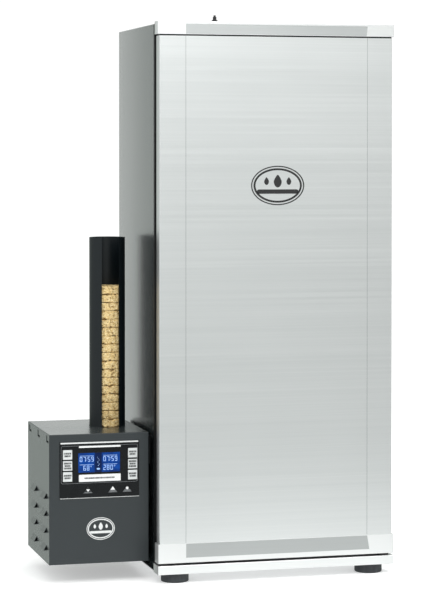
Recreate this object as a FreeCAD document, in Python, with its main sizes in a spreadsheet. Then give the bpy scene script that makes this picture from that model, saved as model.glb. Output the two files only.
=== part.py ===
import FreeCAD, Part
import math
import os
import re
import Sketcher
from FreeCAD import Placement, Rotation, Vector

# Electric cabinet smoker, in millimetres. +X is to the right seen from the front, the door faces -Y
# and +Z is up. The origin is on the floor, under the middle of the whole object's box.

SIZES = {
    # insulated cabinet
    "cabinetLeft": -118.0, "cabinetWidth": 424.0, "cabinetFront": -126.2, "cabinetDepth": 284.7,
    "frameLip": 6.5, "cabinetTop": 972.0, "sheetWall": 1.2, "plateWall": 1.5, "linerWall": 1.0,
    "wallThickness": 25.0, "linerFloor": 59.0, "linerTop": 946.0,
    # base trim, feet
    "baseBottom": 16.5, "baseTop": 31.9, "trimFront": -166.0, "trimDepth": 35.4, "trimOverhang": 3.0,
    "footRadius": 24.4, "footSpacingX": 356.0, "footFrontY": -134.6, "footBackY": 127.0,
    "footRound": 2.0, "footRecessRadius": 9.0, "footRecessDepth": 8.0,
    # door
    "doorFront": -163.5, "doorBack": -140.5, "skinBottom": 69.7, "skinTop": 950.0, "skinWall": 1.0,
    "topCapBottom": 952.6, "spigotInset": 20.0, "spigotDepth": 12.0,
    "capFront": -165.0, "capBottom": 35.7, "capTop": 975.0, "capWall": 2.5, "capRound": 1.2,
    "seamLeft": -71.0, "seamRight": 260.0, "seamWidth": 0.6, "seamDepth": 0.4,
    "insetDepth": 1.0, "insetThickness": 0.6, "insetSlant": 4.0,
    "gasketWall": 14.0, "gasketGap": 0.5, "gasketLeft": -114.0, "gasketRight": 291.0,
    "gasketBottom": 44.0, "gasketTop": 966.0,
    # hinges
    "hingeX": 294.0, "hingeY": -150.0, "pinRadius": 3.0, "pinClearance": 0.05, "bushWall": 3.0,
    "bossHalf": 11.0, "slotFront": 12.7, "tongueHalf": 6.5, "hingePlate": 2.5,
    "lowerPinTop": 62.0, "upperPinBottom": 953.5, "upperPlateBottom": 968.3,
    # top vent and damper
    "ventX": 24.0, "ventY": 0.0, "collarRadius": 38.0, "flangeRadius": 48.0, "damperRadius": 45.0,
    "sectorInner": 12.0, "sectorOuter": 33.0, "sectorAngle": 60.0, "studRadius": 2.0,
    "knobTop": 996.0,
    # food racks and their holders
    "rackLeft": -81.0, "rackWidth": 350.0, "rackFront": -105.0, "rackDepth": 220.0,
    "firstRack": 370.0, "rackPitch": 95.0, "rackFrameRadius": 3.0, "rackWireRadius": 1.5,
    "rackCorner": 16.0, "railReach": 16.0, "trayLevel": 300.0,
    # drip tray, water bowl
    "trayHeight": 20.0, "trayWall": 1.5, "bowlX": -5.0, "bowlY": -10.0, "bowlRadius": 74.0,
    "bowlBaseRadius": 58.0, "bowlHeight": 55.0, "bowlWall": 1.2,
    # main heater and sensor
    "elementRadius": 4.0, "elementLeft": -40.0, "elementRight": 228.0, "elementY": 100.0,
    "elementLevel": 150.0, "elementBend": 14.0, "probeX": 94.0, "probeLevel": 420.0,
    # smoke generator case
    "caseLeft": -303.5, "caseWidth": 176.5, "caseFront": -119.7, "caseDepth": 207.5,
    "caseBottom": 34.1, "caseTop": 260.0, "frontThickness": 2.0, "louvreReach": 5.5,
    "louvreLength": 35.0, "louvreHeight": 10.5, "slotLength": 20.0, "slotHeight": 12.0,
    # control panel
    "panelLeft": -285.5, "panelWidth": 141.0, "panelTop": 246.3, "panelHeight": 98.3,
    "overlayThickness": 0.8, "buttonWidth": 16.0, "buttonHeight": 16.4, "buttonProud": 0.7,
    "buttonGap": 0.3, "leftButtons": -279.5, "rightButtons": -164.2, "topButton": 216.6,
    "buttonPitch": 19.1, "windowLeft": -252.5, "windowWidth": 74.0, "windowBottom": 193.0,
    "windowHeight": 34.0, "triangleLevel": 162.7, "triangleHalf": 8.2,
    # puck feed
    "tubeX": -177.4, "tubeY": -9.9, "tubeRadius": 31.9, "tubeWall": 1.5, "tubeBottom": 217.0,
    "tubeTop": 597.0, "tubeSlot": 31.0, "puckRadius": 28.5, "puckHeight": 14.4, "puckPitch": 14.8,
    "puckRound": 1.0, "stackCount": 20, "deckTop": 200.2, "deckHalf": 31.0, "deckWall": 1.5,
    "deckLeft": -299.0, "deckRight": -88.0, "channelTop": 216.0, "burnerRight": -22.0,
    "pusherLeft": -296.0, "pusherLength": 86.5, "pusherHalf": 26.0, "pusherHeight": 13.8,
    "pinionX": -222.5, "gearModule": 1.0, "pinionTeeth": 18, "shaftRadius": 3.0,
}

doc = FreeCAD.newDocument("CabinetSmoker")
sheet = doc.addObject("Spreadsheet::Sheet", "Sizes")
for row, (alias, number) in enumerate(SIZES.items(), start=1):
    sheet.set("A%d" % row, alias)
    sheet.set("B%d" % row, str(number))
    sheet.setAlias("B%d" % row, alias)
doc.recompute()

nodes = []


# ---------------------------------------------------------------- helpers

def formula(text):
    """Turn size names into references to the sheet's cells."""
    return re.sub(r"[A-Za-z]\w*", lambda word: "Sizes." + word.group(0), str(text))


def value(text):
    """The number that a formula gives now."""
    return float(sheet.evalExpression(formula(text)))


def bind(piece, **formulas):
    for prop, text in formulas.items():
        piece.setExpression(prop, formula(text))


def place(piece, point):
    for axis, text in zip("xyz", point):
        piece.setExpression("Placement.Base." + axis, formula(text))


def box(low, size):
    block = doc.addObject("Part::Box", "Block")
    bind(block, Length=size[0], Width=size[1], Height=size[2])
    place(block, low)
    return block


TURNS = {
    "Z": Rotation(),
    "X": Rotation(Vector(0, 1, 0), 90),
    "Y": Rotation(Vector(1, 0, 0), -90),
}


def rod(start, radius, length, axis="Z"):
    cylinder = doc.addObject("Part::Cylinder", "Rod")
    bind(cylinder, Radius=radius, Height=length)
    cylinder.Placement = Placement(Vector(), TURNS[axis])
    place(cylinder, start)
    return cylinder


def fuse(*pieces):
    joined = doc.addObject("Part::MultiFuse", "Joined")
    joined.Shapes = list(pieces)
    joined.Refine = True
    return joined


def group(*pieces):
    together = doc.addObject("Part::Compound", "Group")
    together.Links = list(pieces)
    return together


def cut(base, *tools):
    difference = doc.addObject("Part::Cut", "Cut")
    difference.Base = base
    difference.Tool = tools[0] if len(tools) == 1 else fuse(*tools)
    return difference


def feature(shape):
    piece = doc.addObject("Part::Feature", "Shape")
    piece.Shape = shape
    return piece


def round_edges(base, radius, pick):
    """Round the base's edges that pick(edge) accepts."""
    doc.recompute()
    size = value(radius)
    chosen = [index for index, edge in enumerate(base.Shape.Edges, start=1) if pick(edge)]
    rounded = doc.addObject("Part::Fillet", "Rounded")
    rounded.Base = base
    rounded.Edges = [(index, size, size) for index in chosen]
    return rounded


def lies_along(edge, axis):
    """True for a straight edge that runs along the axis."""
    if edge.Curve.TypeId != "Part::GeomLine":
        return False
    return abs(edge.Curve.Direction.dot(axis)) > 0.999


def keep(piece, name):
    piece.Label = name
    nodes.append(piece)
    return piece


def new_body(name):
    return doc.addObject("PartDesign::Body", name)


def new_sketch(body, plane, offset="0"):
    sketch = body.newObject("Sketcher::SketchObject", "Sketch")
    support = next(item for item in body.Origin.OriginFeatures if item.Role == plane)
    sketch.AttachmentSupport = [(support, "")]
    sketch.MapMode = "FlatFace"
    if offset != "0":
        sketch.setExpression("AttachmentOffset.Base.z", formula(offset))
    return sketch


def measure(sketch, kind, ends, text):
    """Add a driving dimension that follows the sheet."""
    number = sketch.addConstraint(Sketcher.Constraint(kind, *ends, value(text)))
    sketch.setExpression("Constraints[%d]" % number, formula(text))


def sketch_rectangle(sketch, left, bottom, width, height):
    low = Vector(value(left), value(bottom), 0)
    across = Vector(value(width), 0, 0)
    up = Vector(0, value(height), 0)
    corners = [low, low + across, low + across + up, low + up]
    first = sketch.GeometryCount
    for side in range(4):
        sketch.addGeometry(Part.LineSegment(corners[side], corners[(side + 1) % 4]))
    for side in range(4):
        following = first + (side + 1) % 4
        sketch.addConstraint(Sketcher.Constraint("Coincident", first + side, 2, following, 1))
        direction = "Vertical" if side % 2 else "Horizontal"
        sketch.addConstraint(Sketcher.Constraint(direction, first + side))
    measure(sketch, "DistanceX", (-1, 1, first, 1), left)
    measure(sketch, "DistanceY", (-1, 1, first, 1), bottom)
    measure(sketch, "DistanceX", (first, 1, first, 2), width)
    measure(sketch, "DistanceY", (first + 1, 1, first + 1, 2), height)


def sketch_circle(sketch, across, up, radius):
    centre = Vector(value(across), value(up), 0)
    number = sketch.addGeometry(Part.Circle(centre, Vector(0, 0, 1), value(radius)))
    measure(sketch, "DistanceX", (-1, 1, number, 3), across)
    measure(sketch, "DistanceY", (-1, 1, number, 3), up)
    measure(sketch, "Radius", (number,), radius)


def sketch_outline(sketch, points):
    """A closed outline of straight sides through points given as pairs of formulas."""
    corners = [Vector(value(across), value(up), 0) for across, up in points]
    first = sketch.GeometryCount
    count = len(corners)
    for side in range(count):
        sketch.addGeometry(Part.LineSegment(corners[side], corners[(side + 1) % count]))
    for side in range(count):
        following = first + (side + 1) % count
        sketch.addConstraint(Sketcher.Constraint("Coincident", first + side, 2, following, 1))
    for side, (across, up) in enumerate(points):
        measure(sketch, "DistanceX", (-1, 1, first + side, 1), across)
        measure(sketch, "DistanceY", (-1, 1, first + side, 1), up)


def pad(body, sketch, length, reverse=False):
    added = body.newObject("PartDesign::Pad", "Pad")
    added.Profile = sketch
    bind(added, Length=length)
    added.Reversed = reverse
    return added


def pocket(body, sketch, length, reverse=False):
    removed = body.newObject("PartDesign::Pocket", "Pocket")
    removed.Profile = sketch
    bind(removed, Length=length)
    removed.Reversed = reverse
    return removed


def revolve(body, sketch):
    turned = body.newObject("PartDesign::Revolution", "Revolution")
    turned.Profile = sketch
    turned.ReferenceAxis = (sketch, ["V_Axis"])
    turned.Angle = 360
    return turned


def turned_piece(name, points, place_at):
    """A body turned about its own vertical axis from half-section points."""
    body = new_body(name)
    sketch = new_sketch(body, "XZ_Plane")
    sketch_outline(sketch, points)
    revolve(body, sketch)
    place(body, place_at)
    return body


def prism_xz(name, points, y_low, depth):
    """A body with an outline in the XZ plane, running back from y_low."""
    body = new_body(name)
    sketch = new_sketch(body, "XZ_Plane")
    sketch_outline(sketch, points)
    pad(body, sketch, depth, reverse=True)
    place(body, ("0", y_low, "0"))
    return body


# ---------------------------------------------------------------- sizes used in several places
# Every cutting tool overshoots the face it opens by at least 1 mm.

CABINET_RIGHT = "cabinetLeft + cabinetWidth"
CABINET_BACK = "cabinetFront + cabinetDepth"
LINER_LEFT = "cabinetLeft + wallThickness - linerWall"
LINER_WIDTH = "cabinetWidth - 2 * wallThickness + 2 * linerWall"
LINER_BACK = "cabinetFront + cabinetDepth - wallThickness"
WRAP_BOTTOM = "baseBottom + plateWall"
CASE_RIGHT = "caseLeft + caseWidth"
CASE_BACK = "caseFront + caseDepth"
DUCT_HALF = 36.0
DUCT_BOTTOM = 192.0
DUCT_HEIGHT = 44.0
DUCT_WALL = 1.2
DUCT_FLANGE = 7.0
TERMINAL_LENGTH = 10.0
PROBE_RADIUS = 2.5


def duct_core(x_low, x_length):
    """The outside of the smoke duct, used to open every wall that the duct goes through."""
    return box((x_low, "tubeY - %g" % DUCT_HALF, DUCT_BOTTOM), (x_length, 2 * DUCT_HALF, DUCT_HEIGHT))


def liner_core():
    """The outside of the inner liner, open through the front."""
    return box(
        (LINER_LEFT, "cabinetFront - 1", "linerFloor"),
        (LINER_WIDTH, LINER_BACK + " + linerWall - cabinetFront + 1", "linerTop - linerFloor"),
    )


def element_ends(radius):
    """Two rods where the main heater's ends go through the back of the liner."""
    return [
        rod((x, LINER_BACK + " - 1", "elementLevel"), radius, TERMINAL_LENGTH + 4, "Y")
        for x in ("elementLeft", "elementRight")
    ]


# ---------------------------------------------------------------- cabinet shell

INNER_WIDTH = "cabinetWidth - 2 * sheetWall"


def roof_corner(edge):
    return lies_along(edge, Vector(0, 1, 0)) and edge.BoundBox.ZMin > value("cabinetTop") - 1


def side_wrap():
    outer = box(
        ("cabinetLeft", "cabinetFront + frameLip", WRAP_BOTTOM),
        ("cabinetWidth", "cabinetDepth - frameLip", "cabinetTop - (%s)" % WRAP_BOTTOM),
    )
    outer = round_edges(outer, "sheetWall", roof_corner)
    inner = box(
        ("cabinetLeft + sheetWall", "cabinetFront - 1", WRAP_BOTTOM + " - 1"),
        (INNER_WIDTH, "cabinetDepth + 2", "cabinetTop - sheetWall + 1 - (%s)" % WRAP_BOTTOM),
    )
    vent = rod(("ventX", "ventY", "cabinetTop - 5"), "collarRadius", 10)
    duct = duct_core("cabinetLeft - 1", 5)
    keep(cut(outer, inner, vent, duct), "side_wrap")


SCREW_ROWS = (40.0, 250.0, 495.0, 740.0, 950.0)
SCREW_INSET = 9.0
SCREW_RADIUS = 3.5
SCREW_HEIGHT = 1.8


def back_panel():
    plate = box(
        ("cabinetLeft + sheetWall", CABINET_BACK + " - sheetWall", WRAP_BOTTOM),
        (INNER_WIDTH, "sheetWall", "cabinetTop - sheetWall - (%s)" % WRAP_BOTTOM),
    )
    opening = box(INLET_BODIES[0][0], INLET_BODIES[0][1])
    keep(cut(plate, opening), "back_panel")


def bottom_panel():
    plate = box(
        ("cabinetLeft", "trimFront + plateWall", "baseBottom"),
        ("cabinetWidth", CABINET_BACK + " - trimFront - plateWall", "plateWall"),
    )
    keep(plate, "bottom_panel")


def front_frame():
    """Black frame round the opening, with a lip that the side wrap butts against."""
    outer = box(
        ("cabinetLeft", "cabinetFront", WRAP_BOTTOM),
        ("cabinetWidth", "frameLip", "cabinetTop - (%s)" % WRAP_BOTTOM),
    )
    outer = round_edges(outer, "sheetWall", roof_corner)
    behind = box(
        ("cabinetLeft + sheetWall", "cabinetFront + plateWall", WRAP_BOTTOM + " - 1"),
        (INNER_WIDTH, "frameLip", "cabinetTop - sheetWall + 1 - (%s)" % WRAP_BOTTOM),
    )
    notch = box(
        ("hingeX - tongueHalf - 1", "cabinetFront - 1", "upperPlateBottom"),
        ("2 * tongueHalf + 2", "plateWall + 2", 5),
    )
    keep(cut(outer, behind, liner_core(), notch), "front_frame")


def inner_liner():
    outer = box(
        (LINER_LEFT, "cabinetFront", "linerFloor"),
        (LINER_WIDTH, LINER_BACK + " + linerWall - cabinetFront", "linerTop - linerFloor"),
    )
    inner = box(
        (LINER_LEFT + " + linerWall", "cabinetFront - 1", "linerFloor + linerWall"),
        (
            LINER_WIDTH + " - 2 * linerWall",
            LINER_BACK + " - cabinetFront + 1",
            "linerTop - linerFloor - 2 * linerWall",
        ),
    )
    vent = rod(("ventX", "ventY", "linerTop - 5"), "collarRadius", 10)
    duct = duct_core(LINER_LEFT + " - 1", 4)
    probe = rod(("probeX", LINER_BACK + " - 2", "probeLevel"), PROBE_RADIUS, 5, "Y")
    keep(cut(outer, inner, vent, duct, probe, *element_ends("elementRadius")), "inner_liner")


def insulation():
    block = box(
        ("cabinetLeft + sheetWall", "cabinetFront + plateWall", WRAP_BOTTOM),
        (
            INNER_WIDTH,
            "cabinetDepth - plateWall - sheetWall",
            "upperPlateBottom - (%s)" % WRAP_BOTTOM,
        ),
    )
    vent = rod(("ventX", "ventY", "linerTop - 5"), "collarRadius", 40)
    duct = duct_core("cabinetLeft", "wallThickness")
    probe = rod(("probeX", LINER_BACK, "probeLevel"), PROBE_RADIUS, 8, "Y")
    inlet = box(INLET_BODIES[0][0], INLET_BODIES[0][1])
    keep(
        cut(block, liner_core(), vent, duct, probe, inlet, *element_ends("elementRadius + 2")),
        "insulation",
    )


def base_trim():
    outer = box(
        ("cabinetLeft - trimOverhang", "trimFront", "baseBottom"),
        ("cabinetWidth + 2 * trimOverhang", "trimDepth", "baseTop - baseBottom"),
    )
    def front_edge(edge):
        return lies_along(edge, Vector(1, 0, 0)) and edge.BoundBox.YMax < value("trimFront") + 0.1
    outer = round_edges(outer, "capRound", front_edge)
    inner = box(
        ("cabinetLeft - trimOverhang + plateWall", "trimFront + plateWall", "baseBottom - 1"),
        (
            "cabinetWidth + 2 * trimOverhang - 2 * plateWall",
            "trimDepth",
            "baseTop - baseBottom - plateWall + 1",
        ),
    )
    keep(cut(outer, inner), "base_trim")


def feet():
    """Four round rubber feet, each with a recess for its screw."""
    middle = "cabinetLeft + cabinetWidth / 2"
    made = []
    for side in ("-", "+"):
        for y in ("footFrontY", "footBackY"):
            x = "%s %s footSpacingX / 2" % (middle, side)
            puck = rod((x, y, 0), "footRadius", "baseBottom")
            puck = round_edges(puck, "footRound", lambda edge: edge.BoundBox.ZMax < 0.1)
            recess = rod((x, y, -1), "footRecessRadius", "footRecessDepth + 1")
            head = rod((x, y, "footRecessDepth - 3"), "footRecessRadius - 2", 3)
            made.append(cut(puck, recess))
            made.append(head)
    keep(group(*made), "feet")


# ---------------------------------------------------------------- hinges

def hinge_brackets():
    """Lower plate on the base trim with an upward pin, upper plate under the roof with a downward pin."""
    lower_plate = box(
        ("hingeX - tongueHalf - 2", "hingeY - tongueHalf", "baseTop"),
        ("2 * tongueHalf + 4", "cabinetFront - hingeY + tongueHalf - 4", "hingePlate"),
    )
    lower_pin = rod(("hingeX", "hingeY", "baseTop"), "pinRadius", "lowerPinTop - baseTop")
    upper_plate = box(
        ("hingeX - tongueHalf", "hingeY", "upperPlateBottom"),
        ("2 * tongueHalf", "cabinetFront - hingeY + 70", "hingePlate"),
    )
    upper_end = rod(("hingeX", "hingeY", "upperPlateBottom"), "tongueHalf", "hingePlate")
    upper_pin = rod(
        ("hingeX", "hingeY", "upperPinBottom"),
        "pinRadius",
        "upperPlateBottom + hingePlate - upperPinBottom",
    )
    lower = fuse(lower_plate, lower_pin)
    upper = fuse(upper_plate, upper_end, upper_pin)
    keep(group(lower, upper), "hinge_brackets")


def hinge_bushes():
    """Plain bushes in the door caps, running on the two hinge pins."""
    made = []
    for bottom, top in (("capBottom", "lowerPinTop + 2"), ("topCapBottom", "upperPlateBottom - 1")):
        height = "(%s) - (%s)" % (top, bottom)
        sleeve = rod(("hingeX", "hingeY", bottom), "pinRadius + bushWall", height)
        bore = rod(
            ("hingeX", "hingeY", bottom + " - 1"), "pinRadius + pinClearance", height + " + 2"
        )
        made.append(cut(sleeve, bore))
    keep(group(*made), "hinge_bushes")


# ---------------------------------------------------------------- door

def door_skin():
    outer = box(
        ("cabinetLeft", "doorFront", "skinBottom"),
        ("cabinetWidth", "doorBack - doorFront - skinWall", "skinTop - skinBottom"),
    )
    def front_corner(edge):
        return lies_along(edge, Vector(0, 0, 1)) and edge.BoundBox.YMax < value("doorFront") + 0.1
    outer = round_edges(outer, "capRound", front_corner)
    inner = box(
        ("cabinetLeft + skinWall", "doorFront + skinWall", "skinBottom - 1"),
        ("cabinetWidth - 2 * skinWall", 40, "skinTop - skinBottom + 2"),
    )
    seams = [
        box(
            (x + " - seamWidth / 2", "doorFront - 1", "skinBottom - 1"),
            ("seamWidth", "seamDepth + 1", "skinTop - skinBottom + 2"),
        )
        for x in ("seamLeft", "seamRight")
    ]
    keep(cut(outer, inner, *seams), "door_skin")


TOP_INSET = (
    ("seamLeft", "topCapBottom + 0.6"), ("seamRight - 2", "topCapBottom + 0.6"),
    ("seamRight", "capTop - 4.6"), ("seamLeft", "capTop - 4.6"),
)
BOTTOM_INSET = (
    ("seamLeft", "capBottom + 9"), ("seamRight + insetSlant", "capBottom + 9"),
    ("seamRight", "skinBottom - 0.6"), ("seamLeft", "skinBottom - 0.6"),
)


def spigot():
    """The tongue under the top cap that stands in the door and holds the cap."""
    return box(
        ("cabinetLeft + spigotInset", "doorBack - spigotDepth", "skinTop - spigotDepth"),
        (
            "hingeX - cabinetLeft - bossHalf - 3 - spigotInset",
            "spigotDepth - skinWall - capWall",
            "topCapBottom - skinTop + spigotDepth + 4",
        ),
    )


def door_cap(name, low, high, open_side, inset):
    """A hollow end cap for the door: a shell that is open towards the skin."""
    outer = box(
        ("cabinetLeft - trimOverhang", "capFront", low),
        ("cabinetWidth + 2 * trimOverhang", "doorBack - capFront", "%s - (%s)" % (high, low)),
    )
    def outside_edge(edge):
        bounds = edge.BoundBox
        upright = lies_along(edge, Vector(0, 0, 1)) and bounds.YMax < value("capFront") + 0.1
        outer_level = value(high) if open_side == "below" else value(low)
        level = lies_along(edge, Vector(1, 0, 0)) and abs(bounds.ZMin - outer_level) < 0.1
        return upright or level
    outer = round_edges(outer, "capRound", outside_edge)
    hollow_low = low + " - 1" if open_side == "below" else low + " + capWall"
    hollow = box(
        ("cabinetLeft - trimOverhang + capWall", "capFront + capWall", hollow_low),
        (
            "cabinetWidth + 2 * trimOverhang - 2 * capWall",
            "doorBack - capFront - 2 * capWall",
            "%s - (%s) - capWall + 1" % (high, low),
        ),
    )
    recess = prism_xz(name + "_recess", inset, "capFront - 1", "insetDepth + 1")
    shell = cut(outer, hollow, recess)
    boss_low = low
    boss_high = "upperPlateBottom - 1" if open_side == "below" else "lowerPinTop + 2"
    boss_height = "(%s) - (%s)" % (boss_high, boss_low)
    boss = box(
        ("hingeX - bossHalf", "capFront + plateWall", boss_low),
        (
            "%s + trimOverhang - plateWall - hingeX + bossHalf" % CABINET_RIGHT,
            "doorBack - capFront - 2 * plateWall",
            boss_height,
        ),
    )
    bush_hole = rod(
        ("hingeX", "hingeY", boss_low + " - 1"), "pinRadius + bushWall", boss_height + " + 2"
    )
    tools = [bush_hole]
    if open_side == "below":
        tools.append(box(
            ("hingeX - bossHalf + 1", "hingeY - slotFront", "upperPlateBottom - 1"),
            (30, 40, "hingePlate + 1.7"),
        ))
    pieces = [shell, boss]
    if open_side == "below":
        pieces.append(spigot())
    keep(cut(fuse(*pieces), *tools), name)


def cap_insets():
    """Thin grey plates that lie in the recesses on the fronts of the two caps."""
    plates = [
        prism_xz("inset_plate", outline, "capFront + insetDepth - insetThickness", "insetThickness")
        for outline in (TOP_INSET, BOTTOM_INSET)
    ]
    keep(group(*plates), "cap_insets")


LINER_FLANGE = 10.0


def door_liner():
    """Shallow pan that closes the back of the door between the two caps."""
    plate = box(
        ("cabinetLeft", "doorBack - skinWall", "skinBottom"),
        ("cabinetWidth", "skinWall", "skinTop - skinBottom"),
    )
    lip_outer = box(
        ("cabinetLeft + skinWall", "doorBack - skinWall - %g" % LINER_FLANGE, "skinBottom"),
        ("cabinetWidth - 2 * skinWall", LINER_FLANGE, "skinTop - skinBottom"),
    )
    lip_inner = box(
        ("cabinetLeft + 2 * skinWall", "doorBack - skinWall - %g" % (LINER_FLANGE + 1), "skinBottom - 1"),
        ("cabinetWidth - 4 * skinWall", LINER_FLANGE + 1, "skinTop - skinBottom + 2"),
    )
    keep(fuse(plate, cut(lip_outer, lip_inner)), "door_liner")


def door_insulation():
    block = box(
        ("cabinetLeft + 2 * skinWall", "doorFront + skinWall", "skinBottom"),
        ("cabinetWidth - 4 * skinWall", "doorBack - doorFront - 2 * skinWall", "skinTop - skinBottom"),
    )
    keep(cut(block, spigot()), "door_insulation")


def door_gasket():
    """Black magnetic seal round the back of the door."""
    body = new_body("gasket")
    sketch = new_sketch(body, "XZ_Plane")
    sketch_rectangle(
        sketch, "gasketLeft", "gasketBottom", "gasketRight - gasketLeft", "gasketTop - gasketBottom"
    )
    sketch_rectangle(
        sketch,
        "gasketLeft + gasketWall",
        "gasketBottom + gasketWall",
        "gasketRight - gasketLeft - 2 * gasketWall",
        "gasketTop - gasketBottom - 2 * gasketWall",
    )
    pad(body, sketch, "cabinetFront - doorBack - gasketGap", reverse=True)
    place(body, ("0", "doorBack", "0"))
    keep(body, "door_gasket")


# ---------------------------------------------------------------- vent and damper

def sector_tools(low, height):
    """Three blocks, each the shape of one vent opening."""
    inner, outer, angle = value("sectorInner"), value("sectorOuter"), value("sectorAngle")
    tools = []
    for turn in range(3):
        ring = Part.makeCylinder(outer, height, Vector(), Vector(0, 0, 1), angle)
        ring = ring.cut(Part.makeCylinder(inner, height))
        ring.rotate(Vector(), Vector(0, 0, 1), 120 * turn)
        ring.translate(Vector(value("ventX"), value("ventY"), value(low)))
        tools.append(feature(ring))
    return tools


def vent_collar():
    tube = rod(
        ("ventX", "ventY", "linerTop - linerWall"), "collarRadius", "cabinetTop - linerTop + linerWall"
    )
    flange = rod(("ventX", "ventY", "cabinetTop"), "flangeRadius", 1.2)
    bore = rod(
        ("ventX", "ventY", "linerTop - linerWall - 1"),
        "collarRadius - plateWall",
        "cabinetTop - linerTop + 2",
    )
    stud = rod(("ventX", "ventY", "cabinetTop - 5"), "studRadius + pinClearance", 10)
    keep(cut(fuse(tube, flange), bore, stud, *sector_tools("cabinetTop - 1", 4)), "vent_collar")


def damper_plate():
    disc = rod(("ventX", "ventY", "cabinetTop + 1.6"), "damperRadius", 1.2)
    stud = rod(("ventX", "ventY", "cabinetTop"), "studRadius", 6)
    keep(cut(disc, stud, *sector_tools("cabinetTop + 1", 4)), "damper_plate")


def damper_knob():
    """Spindle handle with its stud, which holds the damper plate to the vent."""
    knob = turned_piece("knob", [
        ("0", "cabinetTop - 8"), ("studRadius + 2.5", "cabinetTop - 8"),
        ("studRadius + 2.5", "cabinetTop - 5"), ("studRadius", "cabinetTop - 5"),
        ("studRadius", "cabinetTop + 2.8"), ("11", "cabinetTop + 2.8"),
        ("11", "cabinetTop + 6"), ("5.35", "cabinetTop + 11"), ("5.35", "cabinetTop + 14.6"),
        ("3.25", "cabinetTop + 16"), ("3.25", "knobTop - 3"), ("2", "knobTop - 2.6"),
        ("2", "knobTop"), ("0", "knobTop"),
    ], ("ventX", "ventY", "0"))
    keep(knob, "damper_knob")


# ---------------------------------------------------------------- racks, tray, bowl

RACK_COUNT = 6
RACK_WIRES = 27
RAIL_PLATE = 1.5
RAIL_LENGTH = 222
RAIL_HEIGHT = 10
UPRIGHT_WIDTH = 14
UPRIGHT_PLACES = (-90, 84)


def wire_rack(level_index):
    """Welded wire rack: a bent frame rod, long wires front to back and three cross wires."""
    name = "rack_%d" % (level_index + 1)
    left, front = value("rackLeft"), value("rackFront")
    width, depth = value("rackWidth"), value("rackDepth")
    rod_radius, wire_radius = value("rackFrameRadius"), value("rackWireRadius")
    corner = value("rackCorner")
    level = value("firstRack") + level_index * value("rackPitch") + rod_radius
    low = Vector(left + rod_radius, front + rod_radius, level)
    frame_path = Part.makePlane(width - 2 * rod_radius, depth - 2 * rod_radius, low).OuterWire
    frame_path = Part.Wire(Part.makeFace(frame_path, "Part::FaceMakerSimple")
                           .makeOffset2D(-corner).makeOffset2D(corner).OuterWire.Edges)
    start = frame_path.OrderedEdges[0]
    point = start.valueAt(start.FirstParameter)
    ring = Part.Wire(Part.makeCircle(rod_radius, point, start.tangentAt(start.FirstParameter)))
    frame = frame_path.makePipeShell([ring], True, True)
    wires = []
    pitch = (width - 2 * rod_radius) / (RACK_WIRES + 1)
    wire_level = level + 0.8 * wire_radius
    for number in range(1, RACK_WIRES + 1):
        base = Vector(low.x + number * pitch, low.y, wire_level)
        wires.append(Part.makeCylinder(wire_radius, depth - 2 * rod_radius, base, Vector(0, 1, 0)))
    for share in (0.25, 0.5, 0.75):
        base = Vector(low.x, low.y + share * (depth - 2 * rod_radius), wire_level - 1.4 * wire_radius)
        wires.append(Part.makeCylinder(1.2 * wire_radius, width - 2 * rod_radius, base, Vector(1, 0, 0)))
    keep(feature(frame.multiFuse(wires)), name)


def rack_holders():
    """A ladder on each side wall: two uprights, an angle rail under every rack and one under the tray."""
    levels = ["firstRack + %d * rackPitch" % index for index in range(RACK_COUNT)] + ["trayLevel"]
    ladders = []
    inner_left = LINER_LEFT + " + linerWall"
    inner_right = inner_left + " + " + LINER_WIDTH + " - 2 * linerWall"
    for side in ("left", "right"):
        wall = inner_left if side == "left" else inner_right + " - %g" % RAIL_PLATE
        shelf = inner_left if side == "left" else inner_right + " - railReach"
        parts = [
            box(
                (wall, y, "trayLevel - 20"),
                (RAIL_PLATE, UPRIGHT_WIDTH, "5 * rackPitch + firstRack - trayLevel + 40"),
            )
            for y in UPRIGHT_PLACES
        ]
        for level in levels:
            parts.append(box(
                (shelf, "rackFront", level + " - %g" % RAIL_PLATE), ("railReach", RAIL_LENGTH, RAIL_PLATE)
            ))
            parts.append(box(
                (wall, "rackFront", level + " - %g" % RAIL_HEIGHT), (RAIL_PLATE, RAIL_LENGTH, RAIL_HEIGHT)
            ))
        ladders.append(fuse(*parts))
    keep(group(*ladders), "rack_holders")


def drip_tray():
    """Shallow pan with a drain hole, on the lowest pair of rails."""
    body = new_body("tray")
    sketch = new_sketch(body, "XY_Plane", "trayLevel")
    sketch_rectangle(sketch, "rackLeft", "rackFront", "rackWidth", "rackDepth")
    pad(body, sketch, "trayHeight")
    hollow = new_sketch(body, "XY_Plane", "trayLevel + trayWall")
    sketch_rectangle(
        hollow, "rackLeft + trayWall", "rackFront + trayWall", "rackWidth - 2 * trayWall",
        "rackDepth - 2 * trayWall",
    )
    pocket(body, hollow, "trayHeight", reverse=True)
    drain = new_sketch(body, "XY_Plane", "trayLevel - 1")
    sketch_circle(drain, "bowlX", "bowlY", "footRecessRadius")
    pocket(body, drain, "trayWall + 2", reverse=True)
    keep(body, "drip_tray")


def water_bowl():
    bowl = turned_piece("bowl", [
        ("0", "0"), ("bowlBaseRadius", "0"), ("bowlRadius", "bowlHeight - 2"),
        ("bowlRadius + 5", "bowlHeight - 2"), ("bowlRadius + 5", "bowlHeight"),
        ("bowlRadius - bowlWall", "bowlHeight"), ("bowlBaseRadius - bowlWall", "bowlWall"),
        ("0", "bowlWall"),
    ], ("bowlX", "bowlY", "linerFloor + linerWall"))
    keep(bowl, "water_bowl")


# ---------------------------------------------------------------- heater and sensor

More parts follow.
